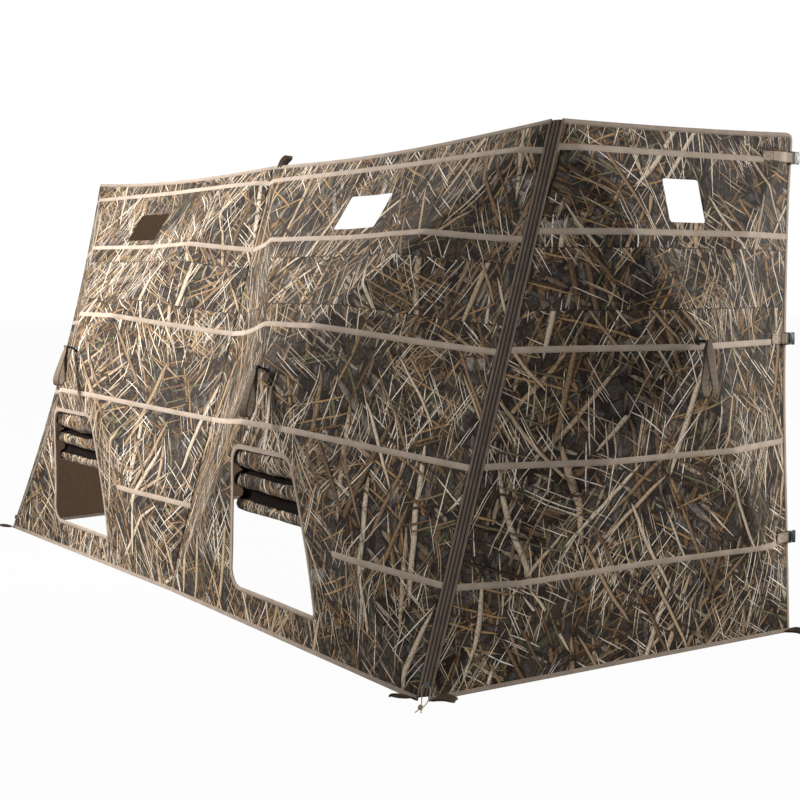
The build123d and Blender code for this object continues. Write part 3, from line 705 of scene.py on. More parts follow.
# cloth
camo = {
    "band": (0.975, 1.138),
    "ground": ((0.0, (0.009, 0.0065, 0.0055)), (0.36, (0.020, 0.015, 0.012)),
               (0.45, (0.085, 0.064, 0.045)), (0.51, (0.026, 0.022, 0.020)),
               (0.57, (0.110, 0.098, 0.088)), (0.63, (0.034, 0.024, 0.017)),
               (0.70, (0.140, 0.092, 0.050)), (0.78, (0.045, 0.036, 0.030)), (1.0, (0.300, 0.250, 0.190))),
    "dim": ((0.085, 0.056, 0.032), (0.125, 0.112, 0.100), (0.030, 0.021, 0.016),
            (0.215, 0.135, 0.070), (0.082, 0.080, 0.042)),
    "bark": ((0.150, 0.136, 0.126), (0.270, 0.245, 0.225), (0.085, 0.078, 0.076),
             (0.190, 0.158, 0.130), (0.066, 0.060, 0.058)),
    "shard": ((0.200, 0.150, 0.098), (0.095, 0.080, 0.066), (0.330, 0.270, 0.200),
              (0.034, 0.024, 0.018), (0.160, 0.098, 0.050)),
    "stem": ((0.170, 0.096, 0.044), (0.280, 0.178, 0.090), (0.070, 0.044, 0.026),
             (0.360, 0.225, 0.108), (0.150, 0.135, 0.075)),
    "reed": ((0.470, 0.345, 0.225), (0.270, 0.175, 0.100), (0.600, 0.490, 0.365),
             (0.165, 0.104, 0.060), (0.380, 0.262, 0.155)),
    "pale": ((0.720, 0.630, 0.505), (0.430, 0.338, 0.240), (0.840, 0.770, 0.670),
             (0.285, 0.211, 0.142), (0.580, 0.478, 0.350)),
    # kind, turn, length, width, how far a blade reaches in its cell, share drawn, shade at its edges
    "layers": (
        ("dim", 31, 0.130, 0.034, 0.42, 0.60, 0.4), ("bark", 12, 1.000, 0.100, 0.22, 0.40, 0.4),
        ("dim", 104, 0.110, 0.026, 0.40, 0.55, 0.4), ("bark", 141, 0.800, 0.062, 0.20, 0.40, 0.4),
        ("shard", 152, 0.110, 0.019, 0.36, 0.44, 0.4), ("stem", 118, 0.520, 0.026, 0.22, 0.65, 0.6),
        ("stem", 64, 0.480, 0.022, 0.22, 0.65, 0.6), ("shard", 74, 0.090, 0.015, 0.36, 0.40, 0.4),
        ("reed", 102, 1.000, 0.054, 0.18, 0.62, 0.8), ("stem", 20, 0.420, 0.016, 0.22, 0.55, 0.5),
        ("reed", 44, 0.900, 0.044, 0.17, 0.50, 0.8), ("pale", 86, 0.420, 0.0105, 0.20, 0.50, 0.2),
        ("stem", 160, 0.560, 0.020, 0.20, 0.58, 0.6), ("pale", 150, 0.380, 0.0092, 0.18, 0.46, 0.2),
        ("reed", 76, 1.100, 0.060, 0.17, 0.60, 0.8), ("pale", 56, 0.460, 0.0092, 0.18, 0.50, 0.2),
        ("reed", 126, 0.740, 0.032, 0.19, 0.50, 0.8), ("pale", 116, 0.400, 0.0082, 0.17, 0.46, 0.2),
    ),
}


def scaledTone(paint, tone, light):
    shade = paint.make("ShaderNodeCombineXYZ", {}, {0: light, 1: light, 2: light})[0]
    return paint.mix(1.0, tone, shade, "MULTIPLY")


def pushed(paint, vector, pattern, far):  # the vector moved about by a noise colour
    settings = {"operation": "SUBTRACT"}
    middle = paint.make("ShaderNodeVectorMath", settings, {0: pattern, 1: (0.5, 0.5, 0.5)})[0]
    inputs = {0: middle, 1: (far, far, 0), 2: vector}
    return paint.make("ShaderNodeVectorMath", {"operation": "MULTIPLY_ADD"}, inputs)[0]


def makeCamo(name):
    paint = Paint(name)
    uv = paint.uv()
    height = paint.parts(uv)[1]
    lowEdge, highEdge = camo["band"]
    inBand = (height < highEdge) * (1.0 - (height < lowEdge))
    away = paint.make("ShaderNodeCombineXYZ", {}, {0: inBand * 7.3, 1: inBand * 3.1})[0]
    uv = paint.make("ShaderNodeVectorMath", {"operation": "ADD"}, {0: uv, 1: away})[0]
    bent = pushed(paint, uv, paint.noise(uv, 1.6, 1.0)[1], 0.105)
    bent = pushed(paint, bent, paint.noise(uv, 11.0, 1.0)[1], 0.007)
    litter = paint.noise(bent, 30.0, 8.0, 0.74)[0]
    flecks = paint.noise(uv, 150.0, 3.0, 0.65)[0]
    clumps = paint.noise(uv, 3.1, 2.0)[0]
    colour = paint.ramp(litter, camo["ground"])
    for i, (kind, turn, length, width, reach, share, edge) in enumerate(camo["layers"]):
        start = (3.7 * i + 1.3, 2.9 * i + 0.7, 0)
        cell = paint.move(bent, (length, width, 1), math.radians(turn), start)
        settings = {"voronoi_dimensions": "2D", "feature": "F1"}
        found = paint.make("ShaderNodeTexVoronoi", settings, {"Vector": cell, "Scale": 1.0})
        distance, chance, place = found[0], found[1], found[2]
        red, green, blue = paint.parts(chance)
        across = (paint.parts(cell)[1] - paint.parts(place)[1]) / reach
        size = green * (0.6 * reach) + 0.55 * reach
        if kind in ("dim", "bark", "shard"):
            size = size + (flecks - 0.5) * (0.35 * reach)
        drawn = red < (clumps - 0.5) * 0.5 + share
        mask = ((size - distance) / (0.10 * reach)).clamped() * drawn
        stops = [(n / 5, tone) for n, tone in enumerate(camo[kind])]
        tone = paint.ramp(blue, stops, "CONSTANT")
        light = 1.0 - across * across * edge
        if kind not in ("dim", "shard"):
            light = light + across * 0.42
        light = light * (flecks * 1.5 + 0.25)
        shadow = ((size * 1.7 - distance) / (0.6 * size)).clamped() * drawn
        colour = paint.mix(shadow * 0.55, colour, (0.010, 0.007, 0.007))
        colour = paint.mix(mask, colour, scaledTone(paint, tone, light))
    seam = ((height - lowEdge).size() < 0.0016) + ((height - highEdge).size() < 0.0016)
    colour = paint.mix(seam * 0.65, colour, (0.016, 0.011, 0.009))
    weave = paint.noise(uv, 900.0, 2.0)[0]
    cloudy = paint.noise(uv, 2.0, 3.0)[0]
    colour = scaledTone(paint, colour, (weave - 0.5) * 0.3 + (cloudy - 0.5) * 0.3 + 1.0)
    paint.bump(weave * 0.3 + paint.noise(uv, 60.0, 3.0)[0] * 0.7 - seam, 0.28, 0.0016)
    return paint.finish(colour, (cloudy - 0.5) * 0.2 + 0.66, Sheen_Weight=0.03, Sheen_Roughness=0.45,
                        Sheen_Tint=(0.95, 0.88, 0.80), Specular_IOR_Level=0.10)


# woven tape: width on U and length on V, with cross ribs and a seam near each side
def makeTape(name, colour, dark, ribs=900.0, stitch=None, rough=0.8, grooves=None):
    paint = Paint(name)
    across, along = paint.parts(paint.uv())[:2]
    rib = (along * ribs).wave()
    thread = (across * 2600.0).wave()
    worn = paint.noise(paint.place(), 34.0, 3.0, flat=False)[0]
    tone = paint.mix((worn - 0.35) * 1.1, dark, colour)
    tone = paint.mix(rib * 0.10 + 0.10, tone, (0.02, 0.016, 0.012))
    if stitch:
        for line in stitch:
            seam = ((across - line).size()) < 0.0007
            dash = (along * 1050.0).wave() * 0.5 + 0.5
            tone = paint.mix(seam * dash * 0.8, tone, tuple(c * 0.35 for c in dark))
    if grooves:
        valley = 1.0 - (across * (math.pi / grooves)).wave().size()
        tone = paint.mix(valley * valley * 1.2, tone, tuple(c * 0.10 for c in dark))
    paint.bump(rib * 0.5 + thread * 0.3 + worn, 0.35, 0.0005)
    return paint.finish(tone, (worn - 0.5) * 0.2 + rough, Sheen_Weight=0.05, Specular_IOR_Level=0.20)


brushWeb = {"middle": 0.0085, "stripe": 0.0042, "tackStep": 0.057, "tackAt": 0.0285, "tackHalf": 0.0016}


def makeBrushStrip():  # flat webbing with bar tacks that leave loops for brush
    paint = Paint("strip_webbing")
    across, along = paint.parts(paint.uv())[:2]
    rib = (along * 1500.0).wave()
    worn = paint.noise(paint.place(), 22.0, 3.0, flat=False)[0]
    tone = paint.mix((worn - 0.3) * 1.2, (0.330, 0.262, 0.204), (0.545, 0.460, 0.380))
    middle = ((across - brushWeb["middle"]).size()) < brushWeb["stripe"]
    tone = paint.mix(middle * 0.10, tone, (0.62, 0.52, 0.42))
    tack = ((along.loop(brushWeb["tackStep"]) - brushWeb["tackAt"]).size()) < brushWeb["tackHalf"]
    tone = paint.mix(tack * 0.70, tone, (0.050, 0.036, 0.026))
    paint.bump(rib * 0.4 + worn - tack * 1.5, 0.4, 0.0006)
    return paint.finish(tone, (worn - 0.5) * 0.2 + 0.78, Sheen_Weight=0.05, Specular_IOR_Level=0.20)


def makePlain(name, colour, dark, rough, scale, depth=0.0004, strength=0.25, **others):
    paint = Paint(name)
    speck = paint.noise(paint.place(), scale, 4.0, 0.6, flat=False)[0]
    patch = paint.noise(paint.place(), scale / 9, 2.0, flat=False)[0]
    tone = paint.mix((patch - 0.3) * 1.4 + (speck - 0.5) * 0.5, dark, colour)
    paint.bump(speck, strength, depth)
    return paint.finish(tone, (patch - 0.5) * 0.25 + rough, **others)


camoCloth = makeCamo("camo_cloth")
innerCloth = makePlain("inner_cloth", (0.180, 0.120, 0.075), (0.125, 0.083, 0.052), 0.85, 700.0, 0.0005, 0.3,
                       Specular_IOR_Level=0.15)
edgeTape = makeTape("edge_binding", (0.540, 0.450, 0.370), (0.330, 0.262, 0.205), stitch=(0.0035, 0.0277))
brushStrip = makeBrushStrip()
darkStrap = makeTape("dark_webbing", (0.235, 0.172, 0.118), (0.130, 0.094, 0.064), stitch=(0.004, 0.028),
                     rough=0.7)
zipTape = makeTape("zip_tape", (0.350, 0.275, 0.215), (0.200, 0.155, 0.122), ribs=700.0, rough=0.7,
                   grooves=0.0085)
blackPlastic = makePlain("buckle_black", (0.020, 0.020, 0.021), (0.011, 0.011, 0.012), 0.42, 260.0)
greyPlastic = makePlain("buckle_grey", (0.42, 0.42, 0.43), (0.33, 0.33, 0.34), 0.45, 260.0)
hubPlastic = makePlain("hub_moulding", (0.026, 0.026, 0.028), (0.014, 0.014, 0.015), 0.45, 200.0)
glassRod = makePlain("pole_rod", (0.32, 0.30, 0.24), (0.22, 0.20, 0.16), 0.38, 300.0)
pocketCloth = makePlain("pocket_cloth", (0.050, 0.036, 0.026), (0.030, 0.022, 0.016), 0.85, 500.0, 0.0006,
                        0.4)
foldShade = makePlain("flap_inside", (0.014, 0.010, 0.008), (0.008, 0.006, 0.005), 0.9, 500.0, 0.0006, 0.4,
                      Specular_IOR_Level=0.05)
sliderMetal = makePlain("slider_metal", (0.30, 0.29, 0.27), (0.20, 0.19, 0.18), 0.38, 240.0, Metallic=0.9)
cordFibre = makePlain("cord", (0.52, 0.42, 0.29), (0.34, 0.26, 0.17), 0.85, 1500.0, 0.0008, 0.6)
print("materials ready")


# sizes and middles in the panel's own u and v
windows = {
    "front": {"size": (0.228, 0.117), "middle": (0.742, 1.294)},
    "end": {"size": (0.133, 0.119), "middle": (0.826, 1.268)}, "round": 0.008,
}
doorway = {
    "middle": 0.695, "leftStep": 0.025, "headStep": 0.02, "foot": 0.105, "head": 0.520,
    "footHalf": 0.2525, "headHalf": 0.1675, "rounds": (0.048, 0.006, 0.048, 0.048),
}


def window(panel):
    (wide, tall), (u, v) = windows[panel.side]["size"], windows[panel.side]["middle"]
    if panel.side == "end":
        u = panel.outer(u)
    low, high, left, right = v - tall / 2, v + tall / 2, u - wide / 2, u + wide / 2
    return rounded([(left, low), (right, low), (right, high), (left, high)], (windows["round"],) * 4)


def doorMiddle(panel):
    return doorway["middle"] + (doorway["leftStep"] if panel is frontLeft else 0.0)


def doorSides(panel):
    m, foot, head = doorMiddle(panel), doorway["foot"], doorway["head"]
    n = m - doorway["headStep"]
    return [(m - doorway["footHalf"], foot), (m + doorway["footHalf"], foot),
            (n + doorway["headHalf"], head), (n - doorway["headHalf"], head)]


def rounded(corners, radii, steps=9):  # a closed outline with rounded corners, turning left
    points = [Vector(c) for c in corners]
    path = []
    for i, corner in enumerate(points):
        before = (points[i - 1] - corner).normalized()
        after = (points[(i + 1) % len(points)] - corner).normalized()
        half = before.angle(after) / 2
        cut = radii[i] / math.tan(half)
        start, stop = corner + before * cut, corner + after * cut
        centre = corner + (before + after).normalized() * (radii[i] / math.sin(half))
        for n in range(steps + 1):
            way = (start - centre).lerp(stop - centre, n / steps).normalized()
            path.append(centre + way * radii[i])
    return path


def door(panel):
    return rounded(doorSides(panel), doorway["rounds"])


cutter = {"from": -0.10, "length": 0.50}
# the share of its depth that a panel keeps with its hub pushed in
flatShare = {"front": 0.145, "end": 0.178}


def cutHole(item, panel, path):  # cuts a prism on an outline, square to the panel, through the object
    mesh = bmesh.new()
    low = [mesh.verts.new(panel.world(p.x, p.y, cutter["from"])) for p in path]
    face = mesh.faces.new(low)
    rim = bmesh.ops.extrude_face_region(mesh, geom=[face])["geom"]
    for vert in rim:
        if isinstance(vert, bmesh.types.BMVert):
            vert.co += panel.out * cutter["length"]
    bmesh.ops.recalc_face_normals(mesh, faces=mesh.faces)
    tool = newObject("cutter", mesh, smooth=False)
    cut = item.modifiers.new("hole", "BOOLEAN")
    cut.object = tool
    cut.operation = "DIFFERENCE"
    cut.solver = "EXACT"
    cut.material_mode = "INDEX"
    applied(item)
    data = tool.data
    bpy.data.objects.remove(tool)
    bpy.data.meshes.remove(data)


def flatten(item, panel):  # the cloth and what is sewn to it go in with the hub
    anchor = panel.world(panel.hub.x, panel.hub.y, 0)
    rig.squash(item, f"hub_pop_{panel.name}", panel.out, anchor, flatShare[panel.side])


def rideWall(item, panel):
    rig.ride(item, f"wall_{panel.name}")
    flatten(item, panel)
    return item


def area(points):
    return abs(sum(a.x * b.y - b.x * a.y for a, b in zip(points, points[1:] + points[:1]))) / 2


# where the print starts on each panel
shift = {"front_right": 0.0, "front_left": 3.1, "end_right": 6.3, "end_left": 9.2}


def makeSkin(panel):
    steps = 60 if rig.quick() else 132
    skin = mapped(f"{panel.name}_skin", steps, steps, lambda p, q: panel.on(*panel.place(p, q)),
                  [camoCloth, innerCloth], thick=0.0018, offset=-1)
    layer = skin.data.uv_layers["UVMap"]
    for loop in skin.data.loops:
        co = skin.data.vertices[loop.vertex_index].co - panel.foot
        layer.data[loop.index].uv = (co.dot(panel.along) + shift[panel.name], co.dot(panel.up))
    cutHole(skin, panel, window(panel))
    flat = area(panel.corners) - area(window(panel))
    if panel.side == "front":
        cutHole(skin, panel, door(panel))
        flat -= area(door(panel))
    skin.data.shade_smooth()
    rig.replaces(skin, f"skin_{panel.name}")
    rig.slot(skin, "camo_cloth")
    rideWall(skin, panel)
    wide = max(c.x for c in panel.corners) - min(c.x for c in panel.corners)
    tall = max(c.y for c in panel.corners)
    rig.sheet(skin, flat=(wide, tall), held="stretched", area=flat, rests_on=[f"hub_{panel.name}"])
    return skin


# places along the panel's outline, from one corner of the unit square to the other
def edgePath(panel, start, stop, steps=60):
    (a, b), (c, d) = start, stop
    return [panel.place(a + (c - a) * n / steps, b + (d - b) * n / steps) for n in range(steps + 1)]


def makeBinding(panel):
    hem = folded(f"{panel.name}_hem", panel, edgePath(panel, (0, 0), (1, 0)), edgeTape)
    top = folded(f"{panel.name}_top_tape", panel, edgePath(panel, (1, 1), (0, 1)), edgeTape)
    parts = [hem, top]
    if panel.side == "end":
        rear = edgePath(panel, (0, 1), (0, 0)) if panel.mirrored else edgePath(panel, (1, 0), (1, 1))
        parts.append(folded(f"{panel.name}_rear_tape", panel, rear, edgeTape))
    if panel.side == "front":
        ring = folded(f"{panel.name}_door_tape", panel, door(panel)[::-1], edgeTape, closed=True)
        parts.append(ring)
    for part in parts:
        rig.slot(part, "edge_binding")
        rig.replaces(part, f"binding_{panel.name}")
        rideWall(part, panel)


strips = {
    "front": (0.295, 0.600, 0.905, 1.205, 1.445), "end": (0.280, 0.580, 0.875, 1.180, 1.398),
    "wide": 0.017, "pastDoor": 0.115, "tailLap": 0.004, "hem": 0.013,
}
# height: length, and how far its stitched end reaches in
tails = {0.293: (0.056, 0.009), 0.883: (0.067, 0.014), 1.408: (0.122, 0.014)}
tailWide = 0.0294


def sideAt(panel, i, v):  # the u of the panel's side edge i at a height
    a, b = (panel.corners[n] for n in ((0, 3) if i == 3 else (1, 2)))
    return a.x + (b.x - a.x) * v / b.y


def makeStrips(panel):
    parts = []
    for i, height in enumerate(strips[panel.side]):
        start, stop = sideAt(panel, 3, height), sideAt(panel, 1, height)
        if panel.side == "front" and i == 0:
            start = doorSides(panel)[1][0] + strips["pastDoor"]
        if panel.side == "end":
            tail = tails[list(tails)[i // 2]]
            inset = sum(tail) - strips["tailLap"] if i % 2 == 0 else strips["hem"]
            rear = panel.rearEdge(height) + (1 if panel.mirrored else -1) * inset
            start, stop = (rear, stop) if panel.mirrored else (start, rear)
        path = [(start, height), (stop, height)]
        parts.append(strip(f"{panel.name}_strip_{i + 1}", panel, path, strips["wide"], brushStrip))
    for part in parts:
        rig.slot(part, "strip_webbing")
        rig.replaces(part, f"webbing_{panel.name}")
        rideWall(part, panel)


for panel in panels:
    makeSkin(panel)
    makeBinding(panel)
    makeStrips(panel)
    print("cloth done:", panel.name)


# zipped corners
# the left band's hidden sides run on under the cloth, which leaves them when its hubs are pushed in
zipBand = {
    "ribs": 4, "rise": 0.0028, "clear": 0.0012, "crown": 0.002, "foot": 0.006, "share": 0.991, "wide": 0.034,
    "over": {"right": 0.12, "left": 0.02}, "lift": {"right": 1.0, "left": 0.5},
    "hidden": {"right": 0.0, "left": 1 / 6}, "under": 0.050, "below": 0.003,
}


def zipLine(panel, p, q):
    return panel.on(*panel.place(p, q))


def makeZip(first, second, side):  # the ribbed band from one panel's edge to the next, seen from outside
    over, hidden = zipBand["over"][side], zipBand["hidden"][side]
    shown = 1 - 2 * hidden

    def tuck(panel, p, q, far):
        u, v = panel.place(p, q)
        return bow(panel, panel.world(u + far * zipBand["under"], v, -zipBand["below"]))

    def where(p, q):
        q = zipBand["foot"] + q * zipBand["share"]
        s = (p - hidden) / shown
        if s < -1e-6:
            return tuck(first, 1, q, s * shown / hidden)
        if s > 1 + 1e-6:
            return tuck(second, 0, q, (s - 1) * shown / hidden)
        a, b = zipLine(first, 1, q), zipLine(second, 0, q)
        out = (b - a).normalized().cross(up).normalized()
        wave = abs(math.sin(math.pi * s * zipBand["ribs"])) ** 0.6
        edge = min(1.0, min(s, 1 - s) * 12)
        lift = zipBand["clear"] + zipBand["rise"] * wave * edge + zipBand["crown"] * math.sin(math.pi * s)
        return a.lerp(b, s * (1 + 2 * over) - over) + out * (lift * zipBand["lift"][side])

    band = mapped(f"corner_band_{side}", round(64 / shown), 120, where, [zipTape], thick=0.0012, offset=-1,
                  size=(zipBand["wide"] / shown, up.length))
    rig.slot(band, "zip_tape")
    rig.replaces(band, f"corner_zip_{side}")
    a, b = zipLine(first, 1, 0.5), zipLine(second, 0, 0.5)
    steep = up.normalized()
    away = (b - a) - steep * (b - a).dot(steep)
    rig.blend(band, f"wall_{first.name}", f"wall_{second.name}", a, a + away)


makeZip(frontRight, endRight, "right")
makeZip(endLeft, frontLeft, "left")
print("corner bands done")


# straps, loops and small fittings
def course(points, closed=False):  # a smooth way through the points, as a function of a share from 0 to 1
    points = [Vector(p) for p in points]
    count = len(points) if closed else len(points) - 1

    def at(q):
        step = min(q, 0.999999) * count
        i, t = int(step), step - int(step)

        def pick(n):
            return points[n % len(points)] if closed else points[max(0, min(n, len(points) - 1))]

        a, b, c, d = (pick(i + n) for n in (-1, 0, 1, 2))
        bend, twist = a * 2 - b * 5 + c * 4 - d, b * 3 - a - c * 3 + d
        return (b * 2 + (c - a) * t + bend * t * t + twist * t ** 3) / 2

    return at


def spanOf(path, count=200):
    return sum((path((n + 1) / count) - path(n / count)).length for n in range(count))


# a webbing band on a smooth path of places, with its width along side, which may turn
def ribbon(name, path, side, width, material, thick, across=6, steps=0.003, twist=None):
    length = spanOf(path)

    def where(p, q):
        way = (path(min(1, q + 0.004)) - path(max(0, q - 0.004))).normalized()
        flat = Vector(side(q) if callable(side) else side)
        flat = (flat - way * flat.dot(way)).normalized()
        if twist:
            flat = Matrix.Rotation(twist(q), 3, way) @ flat
        wide = width(q) if callable(width) else width
        dip = way.cross(flat) * (0.0006 * (1 - (2 * p - 1) ** 2))
        return path(q) + flat * ((p - 0.5) * wide) + dip

    wide = width(0.5) if callable(width) else width
    along = max(8, int(length / steps))
    return mapped(name, across, along, where, [material], thick=thick, size=(wide, length))


def joined(name, items):  # several meshes as one object, with their materials kept
    mesh = bmesh.new()
    materials = []
    for item in items:
        start = len(mesh.faces)
        mesh.from_mesh(item.data)
        mesh.faces.ensure_lookup_table()
        for face in mesh.faces[start:]:
            material = item.data.materials[face.material_index]
            if material not in materials:
                materials.append(material)
            face.material_index = materials.index(material)
    for item in items:
        data = item.data
        bpy.data.objects.remove(item)
        bpy.data.meshes.remove(data)
    whole = newObject(name, mesh, smooth=False)
    for material in materials:
        whole.data.materials.append(material)
    return whole


def axes(origin, x, y, z):
    turned = Matrix((x, y, z)).transposed().to_4x4()
    return Matrix.Translation(origin) @ turned


# a moulded block with rounded edges, placed in the axes given
def block(where, centre, size, material, bevel, segments=3, taper=1.0):
    mesh = bmesh.new()
    bmesh.ops.create_cube(mesh, size=1)
    for vert in mesh.verts:
        shrink = taper if vert.co.x > 0 else 1.0
        x, y, z = vert.co
        vert.co = Vector((x * size[0], y * size[1] * shrink, z * size[2])) + Vector(centre)
    bmesh.ops.bevel(mesh, geom=mesh.edges[:], offset=min(bevel, min(size) * 0.45), offset_type="OFFSET",
                    segments=segments, profile=0.5, affect="EDGES", material=-1)
    mesh.transform(where)
    item = newObject("block", mesh, smooth=False)
    item.data.materials.append(material)
    smoothByAngle(item)
    return item


def smoothByAngle(item, degrees=38):
    item.data.shade_smooth()
    item.data.set_sharp_from_angle(angle=math.radians(degrees))


# a body turned about the axes' own z from (radius, height) places
def turned(where, outline, material, steps=40):
    mesh = bmesh.new()
    verts = [mesh.verts.new((r, 0, z)) for r, z in outline]
    for a, b in zip(verts, verts[1:]):
        mesh.edges.new((a, b))
    bmesh.ops.spin(mesh, geom=mesh.verts[:] + mesh.edges[:], cent=(0, 0, 0), axis=(0, 0, 1),
                   angle=2 * math.pi, steps=steps, use_merge=True)
    bmesh.ops.remove_doubles(mesh, verts=mesh.verts, dist=1e-6)
    bmesh.ops.recalc_face_normals(mesh, faces=mesh.faces)
    mesh.transform(where)
    item = newObject("turned", mesh, smooth=False)
    item.data.materials.append(material)
    smoothByAngle(item)
    return item


fitting = {"disc": 0.011, "stem": 0.0035, "bar": 0.0025, "eye": 0.0046, "eyeWide": 0.020, "yoke": 0.0086}
pullLoop = {
    "wide": 0.032, "long": 0.149, "bow": 0.0162, "thick": 0.0015, "neck": 0.022,
    "swing": {"front": 0.44, "end": 0.26}, "lean": {"front": 0.26, "end": 0.06},
}


def makeBar(where, wide, material):
    b = fitting["bar"]
    return turned(where, ((0, -wide / 2), (b, -wide / 2), (b, wide / 2), (0, wide / 2)), material, 24)


def makeCap(panel):  # black anchor on the hub: a round foot, a stem and a yoke that holds the loop's bar
    back = panel.on(panel.hub.x, panel.hub.y, 0.0002)
    pivot = Vector(joints[f"pull_loop_swing_{panel.name}"]["pos_m"])
    frameAxes = axes(panel.world(panel.hub.x, panel.hub.y, panel.bulge), panel.along, panel.up, panel.out)
    reach = (pivot - back).dot(panel.out) - fitting["eye"] - 0.0012
    r, s = fitting["disc"], fitting["stem"]
    foot = turned(frameAxes, ((0, -0.001), (r, -0.001), (r, 0.0022), (r - 0.001, 0.0032), (s + 0.002, 0.0040),
                              (s, 0.0060), (s, reach), (0, reach)), hubPlastic)
    wide = fitting["eyeWide"] + fitting["yoke"]
    parts = [foot, block(frameAxes, (0, 0, reach), (wide, 0.008, 0.0035), hubPlastic, 0.0010)]
    for end in (-1, 1):
        parts.append(block(frameAxes, (end * (wide / 2 - 0.0018), 0, reach + 0.0045), (0.0036, 0.008, 0.0125),
                           hubPlastic, 0.0014))
    parts.append(makeBar(axes(pivot, panel.up, panel.out, panel.along), wide, hubPlastic))
    cap = joined(f"{panel.name}_anchor", parts)
    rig.slot(cap, "hub_moulding")
    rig.replaces(cap, f"hub_cap_{panel.name}")
    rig.ride(cap, f"hub_body_{panel.name}")


def makePullLoop(panel):  # a dark strap loop that hangs open from the anchor's bar
    pivot = Vector(joints[f"pull_loop_swing_{panel.name}"]["pos_m"])
    out = Vector((panel.along.y, -panel.along.x, 0))
    down = Vector((0, 0, -1))
    e, long, bow = fitting["eye"] - 0.0008, pullLoop["long"], pullLoop["bow"]
    swing = pullLoop["swing"][panel.side]
    tilt = Matrix.Rotation(-pullLoop["lean"][panel.side], 3, panel.along)
    overBar = [(math.sin(a) * e, -math.cos(a) * e) for a in (math.radians(d) for d in (-70, -25, 25, 70))]
    places = ([(-0.0022, 0.0066)] + overBar + [(0.0030, 0.0120), (0.0052, 0.032), (bow * 0.62, long * 0.48),
              (bow, long * 0.80), (bow * 0.70, long * 0.945), (0.0, long), (-bow * 0.70, long * 0.945),
              (-bow, long * 0.80), (-bow * 0.62, long * 0.48), (-0.0040, 0.032), (-0.0026, 0.0130)])

    def turn(drop):
        share = min(1.0, max(0.0, drop / long))
        return Matrix.Rotation(swing * share * share * (3 - 2 * share), 3, "Z")

    path = course([pivot + tilt @ (turn(b) @ out * a + down * b) for a, b in places], closed=True)

    def width(q):
        near = min(1.0, max(0.0, (pivot.z - path(q).z - 0.004) / pullLoop["neck"]))
        slim = fitting["eyeWide"]
        return slim - 0.001 + (pullLoop["wide"] - slim) * near * near * (3 - 2 * near)

    loop = ribbon(f"{panel.name}_loop", path, lambda q: turn(pivot.z - path(q).z) @ panel.along, width,
                  darkStrap, thick=pullLoop["thick"])
    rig.slot(loop, "dark_webbing")
    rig.replaces(loop, f"pull_loop_{panel.name}")
    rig.ride(loop, f"pull_loop_body_{panel.name}")


def paintNodes(names, material):
    for name in names:
        node = frame["nodes"][name]
        node.data.materials.clear()
        node.data.materials.append(material)


for panel in panels:
    makeCap(panel)
    makePullLoop(panel)
    paintNodes([f"hub_{panel.name}"], hubPlastic)
    paintNodes([f"pole_{panel.name}_{n}" for n in range(1, 5)], glassRod)
    paintNodes([f"pockets_{panel.name}"], pocketCloth)
paintNodes(["zip_slider_right", "zip_slider_left"], sliderMetal)
print("anchors and pull loops done")


# strap tails and buckles on the rear edges
stitchBox = {"start": 0.0025, "end": 0.0285, "inset": 0.0035, "thread": (0.070, 0.048, 0.033)}


def makeTailStrap():  # the strap tail's webbing with its boxed cross of stitches where it meets the strip
    paint = Paint("tail_strap")
    across, along = paint.parts(paint.uv())[:2]
    rib = (along * 1500.0).wave()
    worn = paint.noise(paint.place(), 26.0, 3.0, flat=False)[0]
    tone = paint.mix((worn - 0.3) * 1.2, (0.340, 0.268, 0.205), (0.540, 0.445, 0.355))
    wide, low, high = tailWide, stitchBox["start"], stitchBox["end"]
    inside = ((along - (low + high) / 2).size()) < (high - low) / 2
    slope = (wide - 2 * stitchBox["inset"]) / (high - low)
    ways = []
    for turn in (1, -1):
        ways.append(((across - wide / 2) - (along - (low + high) / 2) * (turn * slope)).size() < 0.0011)
    for edge in (stitchBox["inset"], wide - stitchBox["inset"]):
        ways.append((across - edge).size() < 0.0009)
    rows = [(along - edge).size() < 0.0009 for edge in (low, high)]
    dash = ((across + along) * 1600.0).wave() * 0.3 + 0.7
    for way in ways:
        tone = paint.mix(way * inside * dash * 0.95, tone, stitchBox["thread"])
    for way in rows:
        tone = paint.mix(way * dash * 0.95, tone, stitchBox["thread"])
    shadow = (0.0022 - along) / 0.0022
    tone = paint.mix(shadow.clamped() * 0.85, tone, (0.012, 0.009, 0.008))
    paint.bump(rib * 0.4 + worn, 0.4, 0.0006)
    return paint.finish(tone, (worn - 0.5) * 0.2 + 0.76, Sheen_Weight=0.05, Specular_IOR_Level=0.20)


tailStrapPaint = makeTailStrap()


tailLie = {
    "step": 0.0145, "clear": 0.014, "start": 0.0024, "lift": 0.0030, "slim": 0.0002, "thick": 0.0015,
    "rise": (0.0040, 0.0006), "bend": (8, 50, 92, 134, 172), "end": 0.006,
}


